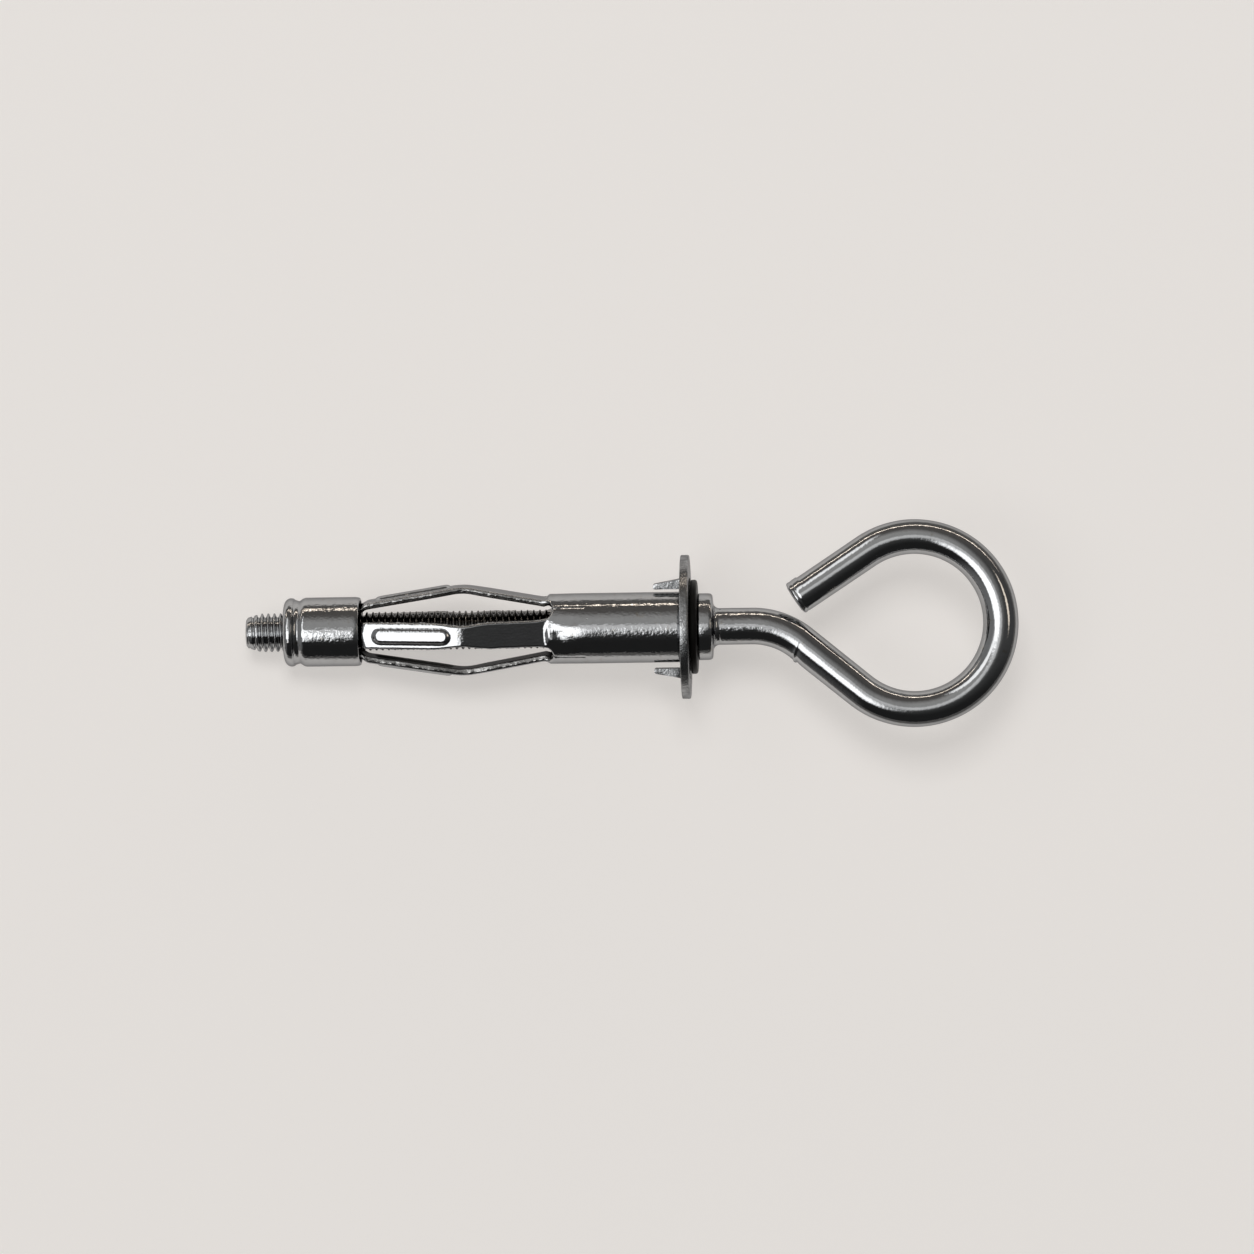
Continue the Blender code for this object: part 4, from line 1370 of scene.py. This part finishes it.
# %% Colours, and the parts of the recipe
BRIGHT_ZINC = (0.482, 0.490, 0.498, 1.0)
DULL_ZINC = (0.23, 0.235, 0.24, 1.0)
WARM_STAIN = (0.36, 0.32, 0.26, 1.0)
TORN_STEEL = (0.36, 0.357, 0.352, 1.0)
TORN_ROUGHNESS = 0.24
TORN_GRAIN = 0.7  # how much higher the grain is where the shears cut
# painted shade: the inner faces of the tube are darker, where little light reaches inside it
INSIDE_PAINTED_SHADE = (0.11, 0.11, 0.108, 1.0)
INSIDE_ROUGHNESS = 0.36
# painted shade: the thread is darker inside the sleeve, where the legs shade it
THREAD_PAINTED_SHADE = (0.17, 0.165, 0.155, 1.0)
EDGE_TINT = (0.42, 0.42, 0.43, 1.0)  # plate darkens where it is seen edge-on
PIT_DEPTH = 0.03
PIT_ROUGHNESS = 0.25
STAIN_SPREAD = 0.27
DULL_CLOUDS = (0.35, 0.70)
ROUGH_CLOUDS = (0.3, 0.7)
ROUGH_SHARES = (0.85, 1.25)  # the roughness wanders between these shares of its value
SHADE_FADE = 1.0
CALM_FROM = 9.0  # along the bolt's stock
CALM_TO = 16.0
CALM_SHARE = 0.35


def new_material(name):
    material = bpy.data.materials.new(name)
    material.use_nodes = True
    return material, material.node_tree, material.node_tree.nodes["Principled BSDF"]


def mark_on(tree, name):
    return add_node(tree, "ShaderNodeAttribute", {"attribute_name": name}).outputs


def clouded(tree, cloud, roughness, dullness):
    """Colour and roughness of zinc, both wandering with the clouds."""
    dull = ranged(tree, cloud, *DULL_CLOUDS, 0.0, dullness, kind="LINEAR")
    colour = blend_colours(tree, dull, BRIGHT_ZINC, DULL_ZINC)
    low, high = (share * roughness for share in ROUGH_SHARES)
    return colour, ranged(tree, cloud, *ROUGH_CLOUDS, low, high, kind="LINEAR")


def thread_painted_shade(tree, distance, colour):
    """Painted shade: the thread is darker between the ferrule and the thread's end, where the legs shade it."""
    start = ranged(tree, distance, FERRULE_MOUTH_X - SHADE_FADE, FERRULE_MOUTH_X, kind="LINEAR")
    fade_x = THREAD_END_X - SHADE_FADE
    end = ranged(tree, distance, fade_x, THREAD_END_X, 1.0, 0.0, kind="LINEAR")
    return blend_colours(tree, calculate(tree, "MULTIPLY", start, end), colour, THREAD_PAINTED_SHADE)


# the dark inside of the tube and the dark thread are painted shade
print("Painted shade inside, torn steel at the cuts, painted shade on the thread")

# %% A maker's recipe for zinc
def zinc_plate(
    name, roughness, crystal, line_share, height, dullness=0.16, sheared=False, bolt=False
):
    """Zinc plate with its crystal size, share of drawn lines and grain height, in millimetres.

    A sheared piece has marked cut and inner faces. On the bolt the grain fades towards the eye.
    """
    material, tree, shader = new_material(name)
    place = mark_on(tree, "stock")["Vector"]
    sizes = {"Crystal_size": crystal, "Line_share": line_share}
    grain = add_group(tree, grain_group, Place=place, **sizes)
    wear = add_group(tree, wear_group, Place=place, Stain_spread=STAIN_SPREAD)
    colour, rough = clouded(tree, grain["Cloud"], roughness, dullness)
    colour = blend_colours(tree, wear["Stain"], colour, WARM_STAIN)
    rough = calculate(tree, "MULTIPLY_ADD", wear["Pit"], PIT_ROUGHNESS, rough)
    pits = calculate(tree, "MULTIPLY", wear["Pit"], -PIT_DEPTH / height)
    bump = add_bump(tree, height, calculate(tree, "ADD", grain["Height"], pits))
    if sheared:
        inner, cut = mark_on(tree, "inner")["Fac"], mark_on(tree, "cut")["Fac"]
        # the inner faces get a darker colour, which is painted shade
        colour = blend_colours(tree, inner, colour, INSIDE_PAINTED_SHADE)
        colour = blend_colours(tree, cut, colour, TORN_STEEL)
        rough = blend_values(tree, inner, rough, INSIDE_ROUGHNESS)
        rough = blend_values(tree, cut, rough, TORN_ROUGHNESS)
        higher = calculate(tree, "MULTIPLY_ADD", cut, TORN_GRAIN * height * MM, height * MM)
        fill_sockets(tree, bump, Distance=higher)
    if bolt:
        distance = add_node(tree, "ShaderNodeSeparateXYZ", Vector=place).outputs["X"]
        calm = ranged(tree, distance, CALM_FROM, CALM_TO, 1.0, CALM_SHARE, kind="LINEAR")
        fill_sockets(tree, bump, Strength=calm)
        # the thread inside the sleeve gets a darker colour, which is painted shade
        colour = thread_painted_shade(tree, distance, colour)
    fill_sockets(tree, shader, Base_Color=colour, Roughness=rough, Normal=bump.outputs[0])
    fill_sockets(tree, shader, Metallic=1.0, Specular_Tint=EDGE_TINT)
    return material


print("The recipe is ready")

# %% Finish the steel pieces
def give_finish(piece, material):
    piece.data.materials.clear()
    piece.data.materials.append(material)
    print(f"{piece.name} is finished in {material.name}")


# roughness, crystal size, share of drawn lines, height of the grain
ON_WIRE = (0.07, 0.34, 0.30, 0.026)
ON_SHEET = (0.07, 0.34, 0.25, 0.022)
ON_FLANGE = (0.24, 0.22, 0.0, 0.034)
ON_FERRULE = (0.07, 0.34, 0.25, 0.032)
give_finish(eye_bolt, zinc_plate("zinc on drawn wire", *ON_WIRE, bolt=True))
give_finish(sleeve, zinc_plate("zinc on rolled sheet", *ON_SHEET, sheared=True))
give_finish(flange, zinc_plate("zinc on the punched flange", *ON_FLANGE, dullness=1.2))
give_finish(ferrule, zinc_plate("zinc on the drawn ferrule", *ON_FERRULE))

# %% [markdown]
# ## Rubber and the hidden nut
#
# Rubber is almost black. What shows it is rubber is a weak, wide sheen and a fine moulded skin.
# The nut is turned steel and keeps its plain solid, so its material reads the object's own
# coordinates instead of the place on the stock.

# %% Finish the washer and the nut
RUBBER_TONES = (0.005, 0.005, 0.005, 1.0), (0.010, 0.009, 0.008, 1.0)
NUT_TONES = (0.40, 0.39, 0.37, 1.0), (0.50, 0.49, 0.47, 1.0)


def plain_finish(tree, shader, grain, tones, height):
    """Two tones in soft clouds, under an even grain."""
    colour = blend_colours(tree, grain["Cloud"], *tones)
    bump = add_bump(tree, height, grain["Height"]).outputs[0]
    fill_sockets(tree, shader, Base_Color=colour, Normal=bump)


def moulded_rubber():
    material, tree, shader = new_material("black rubber")
    place = mark_on(tree, "stock")["Vector"]
    grain = add_group(tree, grain_group, Place=place, Crystal_size=0.30, Line_share=0.0)
    plain_finish(tree, shader, grain, RUBBER_TONES, height=0.012)
    fill_sockets(tree, shader, Roughness=0.42, Specular_IOR_Level=0.12)
    return material


def turned_steel():
    material, tree, shader = new_material("turned nut steel")
    place = add_node(tree, "ShaderNodeTexCoord").outputs["Object"]
    in_mm = calculate_vector(tree, "MULTIPLY", place, (1.0 / MM,) * 3)
    grain = add_group(tree, grain_group, Place=in_mm)
    plain_finish(tree, shader, grain, NUT_TONES, height=0.01)
    fill_sockets(tree, shader, Metallic=1.0, Roughness=0.4)
    return material


give_finish(washer, moulded_rubber())
frame["nodes"]["threaded_nut"].material_slots[0].material = turned_steel()
print("The nut keeps its solid")

# %% [markdown]
# ## A pale floor
#
# The anchor lies on a plain pale sheet with a faint light of its own, like a light table, so
# that shadows stay soft. To the metal alone, the floor fades out a few centimetres away, which
# gives it a dark horizon to mirror. The floor is part of the stage and not of the object.

# %% Lay the floor
FLOOR_SIZE = 6.0
FLOOR_TINT = (1.0, 0.960, 0.922)
FLOOR_GLOW = 0.439
FLOOR_SHADE = 0.58
ALONG_SHARE = 0.45  # the even light reaches further along the anchor than across it
EVEN_RADIUS = 0.030
FADED_RADIUS = 0.062
FADED_SHARE = 0.18


def tinted(value):
    return tuple(value * part for part in FLOOR_TINT) + (1.0,)


def make_floor():
    half = FLOOR_SIZE / 2.0
    mesh = bpy.data.meshes.new("pale_floor")
    corners = [(-half, -half, 0.0), (half, -half, 0.0), (half, half, 0.0), (-half, half, 0.0)]
    mesh.from_pydata(corners, [], [(0, 1, 2, 3)])
    material, tree, shader = new_material("pale sheet")
    place = add_node(tree, "ShaderNodeTexCoord").outputs["Object"]
    narrowed = calculate_vector(tree, "MULTIPLY", place, (ALONG_SHARE, 1.0, 1.0))
    from_middle = calculate_vector(tree, "LENGTH", narrowed)
    fade = ranged(tree, from_middle, EVEN_RADIUS, FADED_RADIUS)
    mirrored = add_node(tree, "ShaderNodeLightPath").outputs["Is Glossy Ray"]
    fade = calculate(tree, "MULTIPLY", fade, mirrored)
    shade, glow = (
        blend_colours(tree, fade, tinted(value), tinted(value * FADED_SHARE))
        for value in (FLOOR_SHADE, FLOOR_GLOW)
    )
    fill_sockets(tree, shader, Base_Color=shade, Emission_Color=glow, Emission_Strength=1.0)
    fill_sockets(tree, shader, Roughness=0.95, Specular_IOR_Level=0.1)
    mesh.materials.append(material)
    return add_object("pale_floor", mesh)


make_floor()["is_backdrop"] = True
print("The floor is", FLOOR_SIZE, "m wide")

# %% [markdown]
# ## Light for bright metal
#
# Metal shows its surroundings, so lighting it means placing bright and dark shapes for it to
# mirror. Here they are painted on the world as soft patches, and only the metal sees them: the
# floor gets an even light instead, so that its shadows stay close to the anchor. One more lamp,
# which the metal doesn't mirror, gives the floor its shadows.

# %% A group for one patch of light
def make_patch_group():
    labels = ("Right", "Up", "Centre right", "Centre up", "Half width", "Half height", "Softness")
    inputs = [(label, VALUE, 0.0) for label in labels]
    group, given, out = new_group("patch of light", inputs, ("Share",))
    sides = []
    for angle, centre, half in (labels[0:6:2], labels[1:6:2]):
        away = calculate(group, "SUBTRACT", given[angle], given[centre])
        sides.append(calculate(group, "DIVIDE", away, given[half]))
    pair = add_node(group, "ShaderNodeCombineXYZ", X=sides[0], Y=sides[1]).outputs[0]
    distance = calculate_vector(group, "LENGTH", pair)
    inside = calculate(group, "SUBTRACT", 1.0, given["Softness"])
    outside = calculate(group, "ADD", 1.0, given["Softness"])
    group.links.new(ranged(group, distance, inside, outside, 1.0, 0.0), out["Share"])
    return group


patch_group = make_patch_group()
print(patch_group.name, "is ready")

# %% [markdown]
# ### Where the patches are
#
# Angles are counted from straight up: to the right is towards +X, and up is towards +Y. A soft
# box, left of the camera, draws the white line along each round piece, and a tall reflector
# brightens the leg's outer half. A halo and a wide weak glow give the mid tones, and a warm
# window stands to the right. The strip near the horizon is low and long, so it has a height
# over it instead, and draws the fine warm line along the upper edge of each round piece.

# %% Patches and walls of the room
WHITE = (1.0, 1.0, 1.0)
# right, up, half width, half height (degrees), softness, radiance, colour
SOFT_BOX = (-31.0, -12.0, 20.5, 20.0, 0.28, 2.35, WHITE)
TALL_REFLECTOR = (-39.0, 30.0, 10.0, 25.0, 0.30, 1.45, WHITE)
NEAR_HALO = (-8.0, 1.0, 9.0, 9.5, 0.50, 0.52, WHITE)
BACK_GLOW = (-16.0, 20.0, 31.0, 25.0, 0.60, 0.36, (1.0, 0.985, 0.96))
SIDE_WINDOW = (46.5, 14.0, 6.0, 19.0, 0.30, 1.5, (1.0, 0.87, 0.72))
PATCHES = (SOFT_BOX, TALL_REFLECTOR, NEAR_HALO, BACK_GLOW, SIDE_WINDOW)
# height over the horizon, half thickness (degrees), radiance, colour
WARM_STRIP = (9.0, 1.4, 4.6, (1.0, 0.86, 0.72))
STRIP_EDGE = (0.4, 1.3)  # shares of the half thickness, where the strip starts to fade and ends
# how much a direction points to +Y, or to -X, where a light starts and where it is full
STRIP_SIDE = (0.45, 0.75)
DIM_SIDE = (-0.75, 0.05)
FAR_SIDE = (0.3, 0.9)
LEFT_SIDE = (0.5, 0.85)
DIM_WALL = (0.022, 0.085)  # radiance towards -Y and towards +Y
FAR_WALL = (0.045, (1.0, 0.80, 0.64))  # more near the horizon towards +Y, and its colour
LEFT_WALL = 0.18  # and near the horizon towards -X
SEEN_ROOM = (0.72, 0.69, 0.66, 1.0)
EVEN_ROOM = (0.20, 0.20, 0.20, 1.0)  # lights the floor, so that its shadows stay near the anchor


def coloured(tree, share, radiance, colour):
    """A share of a light with this radiance and colour."""
    return calculate_vector(tree, "MULTIPLY", share, [radiance * part for part in colour])


def patch_light(tree, angles, patch):
    *degrees, softness, radiance, colour = patch
    sizes = [math.radians(value) for value in degrees]
    node = add_node(tree, "ShaderNodeGroup", {"node_tree": patch_group})
    for socket, value in zip(node.inputs[2:], (*sizes, softness)):
        socket.default_value = value
    fill_sockets(tree, node, Right=angles[0], Up=angles[1])
    return coloured(tree, node.outputs[0], radiance, colour)


def strip_light(tree, parts, strip):
    """A long light, near one height over the horizon and only towards +Y."""
    height, half, radiance, colour = strip
    middle = math.sin(math.radians(height))
    reach = math.sin(math.radians(height + half)) - middle
    away = calculate(tree, "SUBTRACT", parts["Z"], middle)
    distance = calculate(tree, "ABSOLUTE", away)
    band = ranged(tree, distance, *(share * reach for share in STRIP_EDGE), 1.0, 0.0)
    side = ranged(tree, parts["Y"], *STRIP_SIDE)
    return coloured(tree, calculate(tree, "MULTIPLY", band, side), radiance, colour)


print(len(PATCHES), "patches and one strip")

# %% Paint the world
def make_room():
    world = bpy.data.worlds.new("dim room")
    world.use_nodes = True
    tree = world.node_tree
    direction = add_node(tree, "ShaderNodeTexCoord").outputs["Generated"]
    parts = add_node(tree, "ShaderNodeSeparateXYZ", Vector=direction).outputs
    angles = [calculate(tree, "ARCTAN2", parts[axis], parts["Z"]) for axis in ("X", "Y")]
    left = calculate(tree, "MULTIPLY", parts["X"], -1.0)
    total = ranged(tree, parts["Y"], *DIM_SIDE, *DIM_WALL)
    lights = [
        coloured(tree, ranged(tree, parts["Y"], *FAR_SIDE), *FAR_WALL),
        ranged(tree, left, *LEFT_SIDE, 0.0, LEFT_WALL),
        strip_light(tree, parts, WARM_STRIP),
    ]
    for light in lights + [patch_light(tree, angles, patch) for patch in PATCHES]:
        total = calculate_vector(tree, "ADD", total, light)
    ray = add_node(tree, "ShaderNodeLightPath").outputs
    for kind, colour in (("Is Camera Ray", SEEN_ROOM), ("Is Diffuse Ray", EVEN_ROOM)):
        total = blend_colours(tree, ray[kind], total, colour)
    tree.links.new(total, tree.nodes["Background"].inputs["Color"])
    bpy.context.scene.world = world


make_room()
print("The room is painted")

# %% Light the floor
LAMP_DISTANCE = 1.20
LAMP_SIZE = 0.40
LAMP_UP = 22.0  # degrees from straight up towards +Y
LAMP_RIGHT = -6.0
LAMP_RADIANCE = 7.4


def light_the_floor():
    data = bpy.data.lights.new("floor lamp", "AREA")
    data.shape = "SQUARE"
    data.size = LAMP_SIZE
    data.energy = LAMP_RADIANCE * math.pi * LAMP_SIZE**2
    item = add_object("floor lamp", data)
    toward = Vector((math.tan(math.radians(LAMP_RIGHT)), math.tan(math.radians(LAMP_UP)), 1.0))
    item.location = toward.normalized() * LAMP_DISTANCE
    item.rotation_euler = toward.to_track_quat("Z", "Y").to_euler()
    item.visible_camera = False
    item.visible_glossy = False


light_the_floor()
print("The floor lamp is lit")

# %% [markdown]
# ## The camera
#
# The photograph looks almost straight down, with a long lens. The flange's near rim bulges a
# little to the left in it, which gives the tilt of the view, and the anchor's axis climbs by
# less than a degree, which gives the roll. One pixel is 0.129 mm.

# %% Aim the camera
PHOTO_PIXELS = 1254
PIXEL = 0.129
FLANGE_PIXEL_X, FLANGE_PIXEL_Y = 681.5, 626.95
VIEW_TILT = math.radians(2.5)
VIEW_ROLL = math.radians(0.80)
CAMERA_DISTANCE = 0.7
SENSOR = 36.0


def aim_camera():
    data = bpy.data.cameras.new("camera")
    data.sensor_width = SENSOR
    data.lens = SENSOR * CAMERA_DISTANCE / (PHOTO_PIXELS * PIXEL * MM)
    camera = add_object("camera", data)
    middle_x = (PHOTO_PIXELS / 2.0 - FLANGE_PIXEL_X) * PIXEL
    middle_y = (FLANGE_PIXEL_Y - PHOTO_PIXELS / 2.0) * PIXEL
    on_axis_x = middle_x * math.cos(VIEW_ROLL) + middle_y * math.sin(VIEW_ROLL)
    beside_axis = middle_y * math.cos(VIEW_ROLL) - middle_x * math.sin(VIEW_ROLL)
    aim = lying @ (Vector((on_axis_x / math.cos(VIEW_TILT), beside_axis, 0.0)) * MM)
    tilt = Matrix.Rotation(VIEW_TILT - slope, 4, "Y")
    back = tilt.to_3x3() @ Vector((0.0, 0.0, CAMERA_DISTANCE))
    roll = Matrix.Rotation(-VIEW_ROLL, 4, "Z")
    camera.matrix_world = Matrix.Translation(aim + back) @ tilt @ roll
    bpy.context.scene.camera = camera
    return camera


camera = aim_camera()
bpy.context.scene.view_settings.view_transform = "Standard"
print(f"The lens is {camera.data.lens:.0f} mm")

# %% [markdown]
# ## Print the sizes, and finish
#
# The dressed anchor has to stay as large as its solids. Both boxes are printed.

# %% Print the sizes and finish
dressed_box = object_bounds()
boxes = {"solids": solids_box, "dressed": dressed_box}
for name, (low, high) in boxes.items():
    print(name, [round((b - a) / MM, 2) for a, b in zip(low, high)], "mm")
